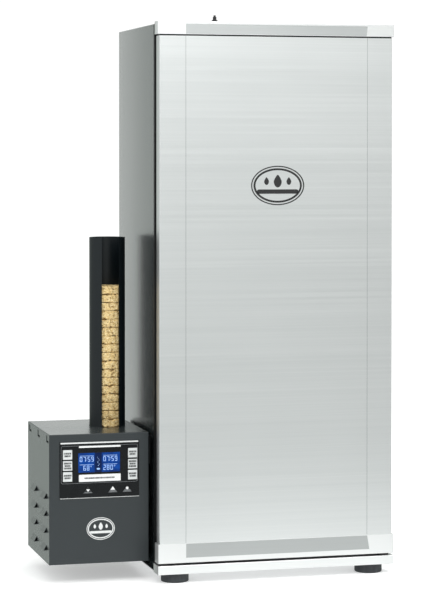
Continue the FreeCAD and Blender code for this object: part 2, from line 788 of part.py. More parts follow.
def heating_element():
    """U-shaped tubular heater whose two ends go through the back of the liner."""
    radius = value("elementRadius")
    left, right = value("elementLeft"), value("elementRight")
    front, level, bend = value("elementY"), value("elementLevel"), value("elementBend")
    back = value(LINER_BACK) + TERMINAL_LENGTH
    diagonal = bend * (1 - math.sqrt(0.5))
    path = Part.Wire([
        Part.LineSegment(Vector(left, back, level), Vector(left, front + bend, level)).toShape(),
        Part.Arc(Vector(left, front + bend, level), Vector(left + diagonal, front + diagonal, level),
                 Vector(left + bend, front, level)).toShape(),
        Part.LineSegment(Vector(left + bend, front, level), Vector(right - bend, front, level)).toShape(),
        Part.Arc(Vector(right - bend, front, level), Vector(right - diagonal, front + diagonal, level),
                 Vector(right, front + bend, level)).toShape(),
        Part.LineSegment(Vector(right, front + bend, level), Vector(right, back, level)).toShape(),
    ])
    ring = Part.Wire(Part.makeCircle(radius, Vector(left, back, level), Vector(0, 1, 0)))
    keep(feature(path.makePipeShell([ring], True, True)), "heating_element")


def element_shield():
    """Bent sheet that keeps drips off the heater, fixed to the back of the liner."""
    roof = box(
        ("elementLeft - 12", "elementY - 16", "elementLevel + 25"),
        ("elementRight - elementLeft + 24", "%s - elementY + 16" % LINER_BACK, "sheetWall"),
    )
    front = box(
        ("elementLeft - 12", "elementY - 16", "elementLevel - 8"),
        ("elementRight - elementLeft + 24", "sheetWall", 34),
    )
    keep(fuse(roof, front), "element_shield")


def temperature_probe():
    stem = rod(("probeX", LINER_BACK + " - 24", "probeLevel"), PROBE_RADIUS, 30, "Y")
    nut = rod(("probeX", LINER_BACK + " - 4", "probeLevel"), 7, 4, "Y")
    keep(fuse(stem, nut), "temperature_probe")


# ---------------------------------------------------------------- power inlets

INLET_WIDTH = 30.0
INLET_HEIGHT = 24.0
INLET_BODIES = (
    (("cabinetLeft + 40", CABINET_BACK + " - 16", 60), (INLET_WIDTH, 16, INLET_HEIGHT)),
    (("caseLeft + 30", CASE_BACK + " - 16", 60), (INLET_WIDTH, 16, INLET_HEIGHT)),
)
INLET_PROUD = 7.5
PIN_PLACES = ((-7, -2), (0, 3), (7, -2))
PIN_WIDTH = 2.0
PIN_LENGTH = 14.0
PIN_HEIGHT = 4.0


def power_inlets():
    """Two flanged inlets with three pins each: one on the cabinet's back, one on the generator's."""
    made = []
    for (x, y, z), (width, depth, height) in INLET_BODIES:
        back = y + " + %g" % depth
        block = box((x, y, z), (width, depth, height))
        flange = box((x + " - 9", back, "%g - 3" % z), (width + 18, 2.5, height + 6))
        shroud = box((x + " + 1", back, "%g + 1" % z), (width - 2, INLET_PROUD, height - 2))
        well = box((x + " + 3", y + " + 5", "%g + 3" % z), (width - 6, depth + INLET_PROUD, height - 6))
        shell = cut(fuse(block, flange, shroud), well)
        pins = []
        for offset, rise in PIN_PLACES:
            across = x + " + %g" % (width / 2 + offset - PIN_WIDTH / 2)
            up = z + height / 2 + rise - PIN_HEIGHT / 2
            pins.append(box((across, y + " + 4", up), (PIN_WIDTH, PIN_LENGTH, PIN_HEIGHT)))
        made.append(fuse(shell, *pins))
    keep(group(*made), "power_inlets")


def cover_screws():
    """Pan-head screws round the cabinet's back and the generator's back."""
    heads = []
    back = CABINET_BACK
    for x in ("cabinetLeft + %g" % SCREW_INSET, CABINET_RIGHT + " - %g" % SCREW_INSET):
        for z in SCREW_ROWS:
            heads.append(rod((x, back, z), SCREW_RADIUS, SCREW_HEIGHT, "Y"))
    for x in ("caseLeft + %g" % SCREW_INSET, CASE_RIGHT + " - %g" % SCREW_INSET):
        for z in ("caseBottom + 14", "caseTop - 14"):
            heads.append(rod((x, CASE_BACK, z), SCREW_RADIUS, SCREW_HEIGHT, "Y"))
    keep(group(*heads), "cover_screws")


# ---------------------------------------------------------------- smoke generator case

LOUVRE_COLUMNS = (-75.5, 17.5)
LOUVRE_LEVELS = (151.0, 121.0, 91.5, 61.0)
SLOT_COLUMNS = (-103.0, -20.0, 63.0)


def louvre(y_middle, level):
    """A pressed hood, deepest at its foot and open only at its front end."""
    reach, height, length = value("louvreReach"), value("louvreHeight"), value("louvreLength")
    left, skin = value("caseLeft"), value("plateWall") * 0.6
    def wedge(out, rise, y_low, run):
        corners = [
            Vector(left + 0.4, y_low, level - height / 2),
            Vector(left - out, y_low, level - height / 2),
            Vector(left + 0.4, y_low, level - height / 2 + rise),
        ]
        outline = Part.makePolygon(corners + corners[:1])
        return Part.Face(outline).extrude(Vector(0, run, 0))
    solid = wedge(reach, height, y_middle - length / 2, length)
    hollow = wedge(reach - 1.6 * skin, height - 2.4 * skin, y_middle - length / 2 - 1, length + 1 - skin)
    hollow.translate(Vector(0, 0, skin))
    return feature(solid.cut(hollow))


def generator_case():
    """Folded cover of the smoke generator: left side, top and right side."""
    outer = box(
        ("caseLeft", "caseFront + frontThickness", "caseBottom"),
        ("caseWidth", "caseDepth - frontThickness", "caseTop - caseBottom"),
    )
    def top_corner(edge):
        return lies_along(edge, Vector(0, 1, 0)) and edge.BoundBox.ZMin > value("caseTop") - 1
    outer = round_edges(outer, "plateWall", top_corner)
    inner = box(
        ("caseLeft + plateWall", "caseFront", "caseBottom - 1"),
        ("caseWidth - 2 * plateWall", "caseDepth + 2", "caseTop - caseBottom - plateWall + 1"),
    )
    tools = [
        inner,
        rod(("tubeX", "tubeY", "caseTop - 10"), "tubeRadius + 0.4", 20),
        duct_core(CASE_RIGHT + " - 5", 10),
    ]
    for y in SLOT_COLUMNS:
        low = "caseTop - 3.2 - slotHeight"
        tools.append(box(("caseLeft - 1", "%g - slotLength / 2" % y, low), (4, "slotLength", 3.6)))
        tools.append(box(("caseLeft - 1", "%g + slotLength / 2 - 8" % y, low), (4, 8, "slotHeight")))
    for y in LOUVRE_COLUMNS:
        for level in LOUVRE_LEVELS:
            vent = box(
                ("caseLeft - 1", "%g - louvreLength / 2 + 2" % y, "%g - louvreHeight / 2 + 1" % level),
                (4, "louvreLength - 4", "louvreHeight - 4"),
            )
            tools.append(vent)
    for y in HOOK_PLACES:
        tools.append(box(
            (CASE_RIGHT + " - 3", y - HOOK_HALF, "caseTop - %g" % HOOK_DROP), (5, 2 * HOOK_HALF, HOOK_WALL)
        ))
    shell = cut(outer, *tools)
    hoods = [louvre(y, level) for y in LOUVRE_COLUMNS for level in LOUVRE_LEVELS]
    keep(fuse(shell, *hoods), "generator_case")


def generator_front():
    plate = box(
        ("caseLeft", "caseFront", "caseBottom"), ("caseWidth", "frontThickness", "caseTop - caseBottom")
    )
    def outside_edge(edge):
        return edge.BoundBox.YMax < value("caseFront") + 0.01
    plate = round_edges(plate, "capRound", outside_edge)
    tools = [window_core()] + [block for _, block in button_cores("buttonGap")]
    keep(cut(plate, *tools), "generator_front")


def generator_base():
    """Folded bottom and back of the generator, inside its cover."""
    floor = box(
        ("caseLeft + plateWall", "caseFront + frontThickness", "caseBottom"),
        ("caseWidth - 2 * plateWall", "caseDepth - frontThickness", "plateWall"),
    )
    back = box(
        ("caseLeft + plateWall", CASE_BACK + " - plateWall", "caseBottom"),
        ("caseWidth - 2 * plateWall", "plateWall", "caseTop - caseBottom - plateWall"),
    )
    opening = box(INLET_BODIES[1][0], INLET_BODIES[1][1])
    keep(cut(fuse(floor, back), opening), "generator_base")


HOOK_PLACES = (-80.0, 55.0)
HOOK_HALF = 10.0
HOOK_DROP = 14
HOOK_WALL = 3
HOOK_LIP = 2


def hanger_hooks():
    """Two hooks on the cabinet's side that the generator's cover hangs on."""
    hooks = []
    for y in HOOK_PLACES:
        plate = box(
            ("cabinetLeft - plateWall", y - HOOK_HALF, "caseTop - 60"),
            ("plateWall", 2 * HOOK_HALF, 60 - HOOK_DROP + HOOK_WALL),
        )
        arm = box(
            (CASE_RIGHT + " - 5", y - HOOK_HALF, "caseTop - %g" % HOOK_DROP),
            ("cabinetLeft - (%s) + 5" % CASE_RIGHT, 2 * HOOK_HALF, HOOK_WALL),
        )
        lip = box(
            (CASE_RIGHT + " - 5", y - HOOK_HALF, "caseTop - %g - 12" % HOOK_DROP),
            (HOOK_LIP, 2 * HOOK_HALF, 13),
        )
        hooks.append(fuse(plate, arm, lip))
    keep(group(*hooks), "hanger_hooks")


# ---------------------------------------------------------------- control panel

def window_core():
    return box(
        ("windowLeft", "caseFront - 2", "windowBottom"), ("windowWidth", 6, "windowHeight")
    )


def button_cores(grow, depth="6", start="caseFront - 3"):
    """One block for each button, named, larger all round by grow."""
    cores = []
    for side in ("left", "right"):
        for row in range(3):
            block = box(
                ("%sButtons - %s" % (side, grow), start, "topButton - %d * buttonPitch - %s" % (row, grow)),
                ("buttonWidth + 2 * %s" % grow, depth, "buttonHeight + 2 * %s" % grow),
            )
            cores.append(("button_%s_%d" % (side, row + 1), block))
    half = "(triangleHalf + %s)" % grow
    rise = "%g * %s" % (TRIANGLE_RISE, half)
    for name, x in TRIANGLE_BUTTONS:
        corners = [
            ("%g - %s" % (x, half), "triangleLevel - " + rise),
            ("%g + %s" % (x, half), "triangleLevel - " + rise),
            ("%g" % x, "triangleLevel + " + rise),
        ]
        cores.append((name, prism_xz(name + "_core", corners, start, depth)))
    return cores


TRIANGLE_BUTTONS = (("button_down", -235.4), ("button_up", -191.6), ("button_power", -166.0))
TRIANGLE_RISE = 0.72
BUTTON_FACE = "caseFront - overlayThickness - buttonProud"
STEM_LENGTH = 5.6
STEM_RADIUS = 1.6
NECK_RADIUS = 2.6
KEY_FLANGE = 0.8


def buttons():
    """Nine keys, each with a flange behind the front plate and a stem towards its switch."""
    faces = button_cores("0", "frontThickness + overlayThickness + buttonProud", BUTTON_FACE)
    centres = [
        ("%sButtons + buttonWidth / 2" % side, "topButton - %d * buttonPitch + buttonHeight / 2" % row)
        for side in ("left", "right") for row in range(3)
    ] + [("%g" % x, "triangleLevel") for _, x in TRIANGLE_BUTTONS]
    for (name, face), (x, z) in zip(faces, centres):
        stem = rod((x, "caseFront + 1", z), STEM_RADIUS, STEM_LENGTH - 1, "Y")
        flange = box(
            (x + " - buttonWidth / 2 - %g" % KEY_FLANGE, "caseFront + frontThickness + 0.2", z + " - 4"),
            ("buttonWidth + %g" % (2 * KEY_FLANGE), 1, 8),
        )
        neck = rod((x, "caseFront + 1", z), NECK_RADIUS, 1.8, "Y")
        keep(fuse(face, neck, flange, stem), name)


def control_panel():
    plate = box(
        ("panelLeft", "caseFront - overlayThickness", "panelTop - panelHeight"),
        ("panelWidth", "overlayThickness", "panelHeight"),
    )
    tools = [window_core()] + [block for _, block in button_cores("buttonGap")]
    keep(cut(plate, *tools), "control_panel")


def display():
    """Liquid-crystal module: a glass in the window and its case behind the front plate."""
    glass = box(
        ("windowLeft", "caseFront - 0.6", "windowBottom"),
        ("windowWidth", "frontThickness + 0.6", "windowHeight"),
    )
    module = box(
        ("windowLeft - 3", "caseFront + frontThickness", "windowBottom - 3"),
        ("windowWidth + 6", 6, "windowHeight + 6"),
    )
    keep(fuse(glass, module), "display")


SWITCH_SIZE = (6, 3, 6)
SWITCH_FRONT = "caseFront + 7.4"
TRANSFORMER_SIZE = (34, 14, 28)


def control_board():
    """Circuit board behind the front, with a switch behind each button and a transformer."""
    board = box(
        ("panelLeft - 2", "caseFront + 10", "panelTop - panelHeight"), ("panelWidth + 4", 1.6, "panelHeight")
    )
    pieces = [board]
    for side in ("left", "right"):
        for row in range(3):
            pieces.append(box(
                ("%sButtons + 5" % side, SWITCH_FRONT, "topButton - %d * buttonPitch + 5" % row), SWITCH_SIZE
            ))
    for _, x in TRIANGLE_BUTTONS:
        pieces.append(box((x - SWITCH_SIZE[0] / 2, SWITCH_FRONT, "triangleLevel - 3"), SWITCH_SIZE))
    pieces.append(box(("windowLeft + 10", "caseFront + 11", "windowBottom"), TRANSFORMER_SIZE))
    keep(fuse(*pieces), "control_board")


# ---------------------------------------------------------------- puck feed

def magazine_tube():
    """Upright tube with a full-height slot at the front."""
    body = new_body("tube")
    section = new_sketch(body, "XY_Plane", "tubeBottom")
    sketch_circle(section, "tubeX", "tubeY", "tubeRadius")
    sketch_circle(section, "tubeX", "tubeY", "tubeRadius - tubeWall")
    pad(body, section, "tubeTop - tubeBottom")
    slot = new_sketch(body, "XY_Plane", "tubeBottom - 1")
    sketch_rectangle(slot, "tubeX - tubeSlot / 2", "tubeY - tubeRadius - 1", "tubeSlot", "tubeRadius")
    pocket(body, slot, "tubeTop - tubeBottom + 2", reverse=True)
    keep(body, "magazine_tube")


def magazine_socket():
    """Ring under the generator's top that locates the tube and carries its foot on a ledge."""
    ring = rod(("tubeX", "tubeY", "channelTop"), "tubeRadius + 4", "caseTop - plateWall - channelTop")
    bore = rod(("tubeX", "tubeY", "tubeBottom"), "tubeRadius + 0.4", 60)
    throat = rod(("tubeX", "tubeY", "channelTop - 1"), "puckRadius + 1.2", 10)
    keep(cut(ring, bore, throat), "magazine_socket")


def puck(level):
    disc = rod(("tubeX", "tubeY", level), "puckRadius", "puckHeight")
    return round_edges(disc, "puckRound", lambda edge: edge.Curve.TypeId == "Part::GeomCircle")


def puck_stack():
    count = int(value("stackCount"))
    levels = ["deckTop + 0.2 + %d * puckPitch" % number for number in range(1, count + 1)]
    keep(group(*[puck(level) for level in levels]), "puck_stack")


def feed_puck():
    keep(puck("deckTop + 0.2"), "feed_puck")


PITCH_LINE = 22.75
TOOTH_BACKLASH = 0.12
PRESSURE_ANGLE = 20.0
PINION_BOTTOM = 201.2
PINION_HEIGHT = 11.0
PINION_Y = "tubeY + %g + gearModule * pinionTeeth / 2" % PITCH_LINE
SHAFT_LENGTH = 30.0
SHAFT_FOOT = PINION_BOTTOM + PINION_HEIGHT - SHAFT_LENGTH
MOTOR_HALF = 22.0
GEARBOX_HEIGHT = 26.0
CAN_RADIUS = 17.0
CAN_DROP = 60.0
SHELF_DEPTH = 55.0
TEETH_WINDOW_HALF = 13.0
BURNER_PLATE = 4.0
HEATER_BLOCK = (50, 40, 6)


def involute_point(base_radius, radius, shift):
    """Point on an involute of the base circle at the given radius, turned by shift radians."""
    roll = math.sqrt((radius / base_radius) ** 2 - 1)
    angle = roll - math.atan(roll) + shift
    return radius, angle


def pinion_section():
    """Outline of the pinion as a closed wire about the origin, with one tooth's middle on -Y."""
    module, teeth = value("gearModule"), int(value("pinionTeeth"))
    pitch_radius = module * teeth / 2
    base_radius = pitch_radius * math.cos(math.radians(PRESSURE_ANGLE))
    tip, root = pitch_radius + 0.9 * module, pitch_radius - 1.2 * module
    start = math.sqrt((pitch_radius / base_radius) ** 2 - 1)
    half_tooth = math.pi / (2 * teeth) - TOOTH_BACKLASH / (2 * pitch_radius)
    turn_to_pitch = half_tooth + start - math.atan(start)
    radii = [base_radius + (tip - base_radius) * step / 5 for step in range(6)]
    points = []
    for tooth in range(teeth):
        middle = -math.pi / 2 + 2 * math.pi * tooth / teeth
        flank = [(root, -turn_to_pitch)]
        flank += [involute_point(base_radius, radius, -turn_to_pitch) for radius in radii]
        mirrored = [(radius, -angle) for radius, angle in reversed(flank)]
        for radius, angle in flank + mirrored:
            points.append(Vector(radius * math.cos(middle + angle), radius * math.sin(middle + angle), 0))
    return Part.makePolygon(points + points[:1])


def drive_pinion():
    """Pinion with its shaft, standing in the feed motor."""
    x = value("pinionX")
    y = value(PINION_Y)
    gear = Part.Face(pinion_section()).extrude(Vector(0, 0, PINION_HEIGHT))
    gear.translate(Vector(x, y, PINION_BOTTOM))
    shaft = Part.makeCylinder(value("shaftRadius"), SHAFT_LENGTH, Vector(x, y, SHAFT_FOOT))
    keep(feature(gear.fuse(shaft)), "drive_pinion")


def pusher():
    """Sliding plate with a rack of teeth along its +Y side and a hollow end that fits the puck."""
    left, length = value("pusherLeft"), value("pusherLength")
    half, height = value("pusherHalf"), value("pusherHeight")
    y, level = value("tubeY"), value("deckTop") + 0.3
    module = value("gearModule")
    pitch = math.pi * module
    plate = Part.makeBox(length, half + PITCH_LINE - 1.2 * module, height, Vector(left, y - half, level))
    nose = Part.makeCylinder(
        value("puckRadius") + 0.3, height + 2, Vector(value("tubeX"), y, level - 1)
    )
    slope = math.tan(math.radians(PRESSURE_ANGLE))
    line = y + PITCH_LINE
    teeth = []
    # The rack has a gap at the pinion's middle, where one of the pinion's teeth points.
    first = math.ceil((left + 1 - value("pinionX")) / pitch - 0.5)
    last = math.floor((left + length - 1 - value("pinionX")) / pitch - 0.5)
    for number in range(first, last + 1):
        middle = value("pinionX") + (number + 0.5) * pitch
        half_at_line = pitch / 4 - TOOTH_BACKLASH / 2
        foot, tip = line - 1.3 * module, line + 0.9 * module
        corners = [
            Vector(middle - half_at_line - slope * (line - foot), foot, level),
            Vector(middle + half_at_line + slope * (line - foot), foot, level),
            Vector(middle + half_at_line - slope * (tip - line), tip, level),
            Vector(middle - half_at_line + slope * (tip - line), tip, level),
        ]
        outline = Part.makePolygon(corners + corners[:1])
        teeth.append(Part.Face(outline).extrude(Vector(0, 0, height)))
    keep(feature(plate.multiFuse(teeth).removeSplitter().cut(nose)), "pusher")


def feed_deck():
    """Channel that the pucks slide along, with a bracket for the motor at its side."""
    floor_low = "deckTop - deckWall"
    length = "deckRight - deckLeft"
    floor = box(("deckLeft", "tubeY - deckHalf", floor_low), (length, "2 * deckHalf", "deckWall"))
    near = box(
        ("deckLeft", "tubeY - deckHalf", floor_low),
        (length, "deckWall", "channelTop - deckTop + deckWall"),
    )
    far = box(
        ("deckLeft", "tubeY + deckHalf - deckWall", floor_low),
        (length, "deckWall", "channelTop - deckTop + deckWall"),
    )
    shelf = box(
        ("pinionX - %g" % (MOTOR_HALF + 1), "tubeY", floor_low),
        (2 * MOTOR_HALF + 2, SHELF_DEPTH, "deckWall"),
    )
    window = box(
        ("pinionX - %g" % TEETH_WINDOW_HALF, "tubeY + deckHalf - 4", "deckTop"),
        (2 * TEETH_WINDOW_HALF, 6, 20),
    )
    shaft = rod(("pinionX", PINION_Y, floor_low + " - 1"), "shaftRadius + 1", 6)
    leg = box(
        ("deckLeft", "tubeY - deckHalf", "caseBottom + plateWall"),
        ("plateWall", 20, "deckTop - caseBottom - 2 * plateWall"),
    )
    keep(cut(fuse(floor, near, far, shelf, leg), window, shaft), "feed_deck")


def feed_motor():
    """Gearbox and motor can under the deck, with a bore for the pinion's shaft."""
    top = "deckTop - deckWall"
    gearbox = box(
        ("pinionX - %g" % MOTOR_HALF, PINION_Y + " - %g" % MOTOR_HALF, top + " - %g" % GEARBOX_HEIGHT),
        (2 * MOTOR_HALF, 2 * MOTOR_HALF, GEARBOX_HEIGHT),
    )
    can = rod(
        ("pinionX", PINION_Y, top + " - %g" % CAN_DROP), CAN_RADIUS, CAN_DROP - GEARBOX_HEIGHT + 2
    )
    bore = rod(("pinionX", PINION_Y, SHAFT_FOOT - 0.4), "shaftRadius + pinClearance", SHAFT_LENGTH + 10)
    keep(cut(fuse(gearbox, can), bore), "feed_motor")


def burner():
    """Hot plate at the cabinet end of the channel, with low side walls and a heater block under it."""
    length = "burnerRight - deckRight"
    low = "deckTop - %g" % BURNER_PLATE
    wall_height = "channelTop - deckTop + %g" % BURNER_PLATE
    plate = box(("deckRight", "tubeY - deckHalf", low), (length, "2 * deckHalf", BURNER_PLATE))
    near = box(("deckRight", "tubeY - deckHalf", low), (length, "deckWall", wall_height))
    far = box(("deckRight", "tubeY + deckHalf - deckWall", low), (length, "deckWall", wall_height))
    heater = box(("deckRight + 8", "tubeY - 20", low + " - 6"), HEATER_BLOCK)
    keep(fuse(plate, near, far, heater), "burner")


def smoke_duct():
    """Sleeve round the feed channel, from the generator's cover through the cabinet's wall."""
    length = "%s + linerWall - (%s) + plateWall" % (LINER_LEFT, CASE_RIGHT)
    sleeve = duct_core(CASE_RIGHT + " - plateWall", length)
    inner = box(
        (CASE_RIGHT + " - 5", "tubeY - %g" % (DUCT_HALF - DUCT_WALL), DUCT_BOTTOM + DUCT_WALL),
        (60, 2 * DUCT_HALF - 2 * DUCT_WALL, DUCT_HEIGHT - 2 * DUCT_WALL),
    )
    collar = box(
        ("cabinetLeft - plateWall", "tubeY - %g" % (DUCT_HALF + DUCT_FLANGE), DUCT_BOTTOM - DUCT_FLANGE),
        ("plateWall", 2 * (DUCT_HALF + DUCT_FLANGE), DUCT_HEIGHT + 2 * DUCT_FLANGE),
    )
    keep(cut(fuse(sleeve, collar), inner), "smoke_duct")


# ---------------------------------------------------------------- the whole smoker

def main():
    side_wrap()
    back_panel()
    bottom_panel()
    front_frame()
    inner_liner()
    insulation()
    base_trim()
    feet()
    hinge_brackets()
    hinge_bushes()
    door_skin()
    door_cap("door_top_cap", "topCapBottom", "capTop", "below", TOP_INSET)
    door_cap("door_bottom_cap", "capBottom", "skinBottom", "above", BOTTOM_INSET)
    cap_insets()
    door_liner()
    door_insulation()
    door_gasket()
    vent_collar()
    damper_plate()
    damper_knob()
    rack_holders()
    for index in range(RACK_COUNT):
        wire_rack(index)
    drip_tray()
    water_bowl()
    heating_element()
    element_shield()
    temperature_probe()
    power_inlets()
    cover_screws()
    generator_case()
    generator_front()
    generator_base()
    hanger_hooks()
    control_panel()
    display()
    control_board()
    buttons()
    magazine_tube()
    magazine_socket()
    puck_stack()
    feed_puck()
    drive_pinion()
    pusher()
    feed_deck()
    feed_motor()
    burner()
    smoke_duct()
    doc.recompute()
    for item in doc.Objects:
        if "Invalid" in item.State or "Error" in item.State:
            raise RuntimeError("%s (%s) failed: %s" % (item.Name, item.Label, item.State))
    os.makedirs("parts", exist_ok=True)
    for piece in nodes:
        if piece.Shape.isNull() or not piece.Shape.isValid():
            raise RuntimeError(piece.Label + " has no valid shape")
    for piece in nodes:
        piece.Shape.exportStep("parts/%s.step" % piece.Label)
        bounds = piece.Shape.BoundBox
        print("%-18s %2d solids  %9.0f mm3  x %.1f..%.1f  y %.1f..%.1f  z %.1f..%.1f" % (
            piece.Label, len(piece.Shape.Solids), piece.Shape.Volume,
            bounds.XMin, bounds.XMax, bounds.YMin, bounds.YMax, bounds.ZMin, bounds.ZMax,
        ))
    print(len(nodes), "sub-parts")


main()
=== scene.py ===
import math
import random

import bmesh
import bpy
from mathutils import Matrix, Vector, noise


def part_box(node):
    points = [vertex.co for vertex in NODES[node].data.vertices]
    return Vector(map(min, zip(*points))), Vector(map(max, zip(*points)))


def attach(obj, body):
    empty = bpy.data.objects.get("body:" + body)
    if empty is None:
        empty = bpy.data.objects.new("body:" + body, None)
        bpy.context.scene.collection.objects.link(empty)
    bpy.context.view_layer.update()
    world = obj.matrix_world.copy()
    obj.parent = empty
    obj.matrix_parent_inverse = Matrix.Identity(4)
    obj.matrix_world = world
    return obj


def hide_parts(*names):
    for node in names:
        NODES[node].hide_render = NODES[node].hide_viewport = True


# Electric cabinet smoker, in metres: +Z up, the door faces -Y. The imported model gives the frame, and
# this script gives it a studio, materials, printed marks and the pieces whose surface needs more shape.

MM = 0.001
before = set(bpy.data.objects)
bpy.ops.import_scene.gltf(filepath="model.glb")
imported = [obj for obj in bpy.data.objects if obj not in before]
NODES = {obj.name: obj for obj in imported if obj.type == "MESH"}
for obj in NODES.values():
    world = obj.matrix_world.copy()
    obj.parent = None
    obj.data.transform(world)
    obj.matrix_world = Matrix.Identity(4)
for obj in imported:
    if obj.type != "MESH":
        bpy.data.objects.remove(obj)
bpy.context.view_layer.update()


# ---------------------------------------------------------------- camera, floor and lights

def camera():
    """Three quarters from the front left, level with the upper racks and looking slightly down."""
    data = bpy.data.cameras.new("camera")
    data.lens = 134.28
    data.sensor_width = 36.0
    data.shift_y = -0.18
    data.clip_end = 50.0
    eye = bpy.data.objects.new("camera", data)
    eye.location = (-1.0210, -3.9185, 0.7520)
    eye.rotation_euler = (math.radians(90 - 1.07), 0.0, math.radians(-14.84))
    bpy.context.collection.objects.link(eye)
    bpy.context.scene.camera = eye


def area_light(name, place, aim, size, power):
    data = bpy.data.lights.new(name, "AREA")
    data.shape = "RECTANGLE"
    data.size, data.size_y = size
    data.energy = power
    lamp = bpy.data.objects.new(name, data)
    lamp.location = place
    lamp.rotation_euler = (Vector(aim) - Vector(place)).to_track_quat("-Z", "Y").to_euler()
    lamp.visible_camera = False
    bpy.context.collection.objects.link(lamp)


def sky():
    """White to the camera; for light and reflections a soft room, dimmer in front at eye level."""
    world = bpy.data.worlds.new("studio")
    bpy.context.scene.world = world
    world.use_nodes = True
    tree = world.node_tree
    split = tree.nodes.new("ShaderNodeSeparateXYZ")
    tree.links.new(tree.nodes.new("ShaderNodeTexCoord").outputs["Generated"], split.inputs["Vector"])
    height = tree.nodes.new("ShaderNodeValToRGB")
    stops = (
        (0.00, (1.20, 1.22, 1.21)), (0.30, (1.20, 1.22, 1.21)), (0.45, (0.51, 0.54, 0.53)),
        (0.52, (0.62, 0.65, 0.63)), (0.61, (1.10, 1.12, 1.11)), (1.00, (0.95, 0.97, 0.96)),
    )
    ramp = height.color_ramp
    while len(ramp.elements) < len(stops):
        ramp.elements.new(0.5)
    for element, (position, colour) in zip(ramp.elements, stops):
        element.position = position
        element.color = (*colour, 1.0)
    halved = tree.nodes.new("ShaderNodeMapRange")
    halved.inputs["From Min"].default_value = -1.0
    tree.links.new(split.outputs["Z"], halved.inputs["Value"])
    tree.links.new(halved.outputs["Result"], height.inputs["Fac"])
    behind = tree.nodes.new("ShaderNodeMapRange")
    behind.interpolation_type = "SMOOTHSTEP"
    behind.inputs["From Min"].default_value = 0.1
    behind.inputs["From Max"].default_value = 0.8
    tree.links.new(split.outputs["Y"], behind.inputs["Value"])
    both = tree.nodes.new("ShaderNodeMix")
    both.data_type = "RGBA"
    colours = [socket for socket in both.inputs if socket.type == "RGBA"]
    colours[1].default_value = (0.40, 0.44, 0.415, 1.0)
    tree.links.new(height.outputs["Color"], colours[0])
    tree.links.new(behind.outputs["Result"], both.inputs["Factor"])
    blended = next(socket for socket in both.outputs if socket.type == "RGBA")
    room = tree.nodes["Background"]
    tree.links.new(blended, room.inputs["Color"])
    room.inputs["Strength"].default_value = 1.0
    white = tree.nodes.new("ShaderNodeBackground")
    white.inputs["Color"].default_value = (1.0, 1.0, 1.0, 1.0)
    white.inputs["Strength"].default_value = 1.05
    path = tree.nodes.new("ShaderNodeLightPath")
    mix = tree.nodes.new("ShaderNodeMixShader")
    tree.links.new(path.outputs["Is Camera Ray"], mix.inputs["Fac"])
    tree.links.new(room.outputs["Background"], mix.inputs[1])
    tree.links.new(white.outputs["Background"], mix.inputs[2])
    tree.links.new(mix.outputs["Shader"], tree.nodes["World Output"].inputs["Surface"])


FLOOR_REACH = 20.0
FLOOR_FRONT = -0.8


def floor():
    """White paper that runs out behind the object and ends in front of it."""
    mesh = bmesh.new()
    corners = (
        (-FLOOR_REACH, FLOOR_FRONT), (FLOOR_REACH, FLOOR_FRONT),
        (FLOOR_REACH, FLOOR_REACH), (-FLOOR_REACH, FLOOR_REACH),
    )
    mesh.faces.new([mesh.verts.new((x, y, 0.0)) for x, y in corners])
    data = bpy.data.meshes.new("floor")
    mesh.to_mesh(data)
    mesh.free()
    paper = bpy.data.objects.new("floor", data)
    bpy.context.collection.objects.link(paper)
    surface = bpy.data.materials.new("floor_paper")
    surface.use_nodes = True
    shader = surface.node_tree.nodes["Principled BSDF"]
    shader.inputs["Base Color"].default_value = (0.88, 0.88, 0.88, 1.0)
    shader.inputs["Roughness"].default_value = 0.9
    shader.inputs["Specular IOR Level"].default_value = 0.1
    shader.inputs["Emission Color"].default_value = (1.0, 1.0, 1.0, 1.0)
    shader.inputs["Emission Strength"].default_value = 0.35
    data.materials.append(surface)
    paper.visible_glossy = False


def card(name, low, high, glow=0.0):
    """A card that only reflections see and that stands for no real thing: black paints a dark
    reflection, glowing paints a highlight.
    """
    mesh = bmesh.new()
    (x0, y0, z0), (x1, y1, z1) = low, high
    corners = ((x0, y0, z0), (x1, y1, z0), (x1, y1, z1), (x0, y0, z1))
    mesh.faces.new([mesh.verts.new(corner) for corner in corners])
    data = bpy.data.meshes.new(name)
    mesh.to_mesh(data)
    mesh.free()
    made = bpy.data.objects.new(name, data)
    bpy.context.collection.objects.link(made)
    surface = bpy.data.materials.new(name + "_painted_reflection")
    surface.use_nodes = True
    shader = surface.node_tree.nodes["Principled BSDF"]
    shader.inputs["Base Color"].default_value = (0.0, 0.0, 0.0, 1.0)
    shader.inputs["Specular IOR Level"].default_value = 0.0
    shader.inputs["Emission Color"].default_value = (0.97, 1.0, 0.99, 1.0)
    shader.inputs["Emission Strength"].default_value = glow
    data.materials.append(surface)
    made.visible_camera = False
    made.visible_diffuse = False
    made.visible_shadow = False


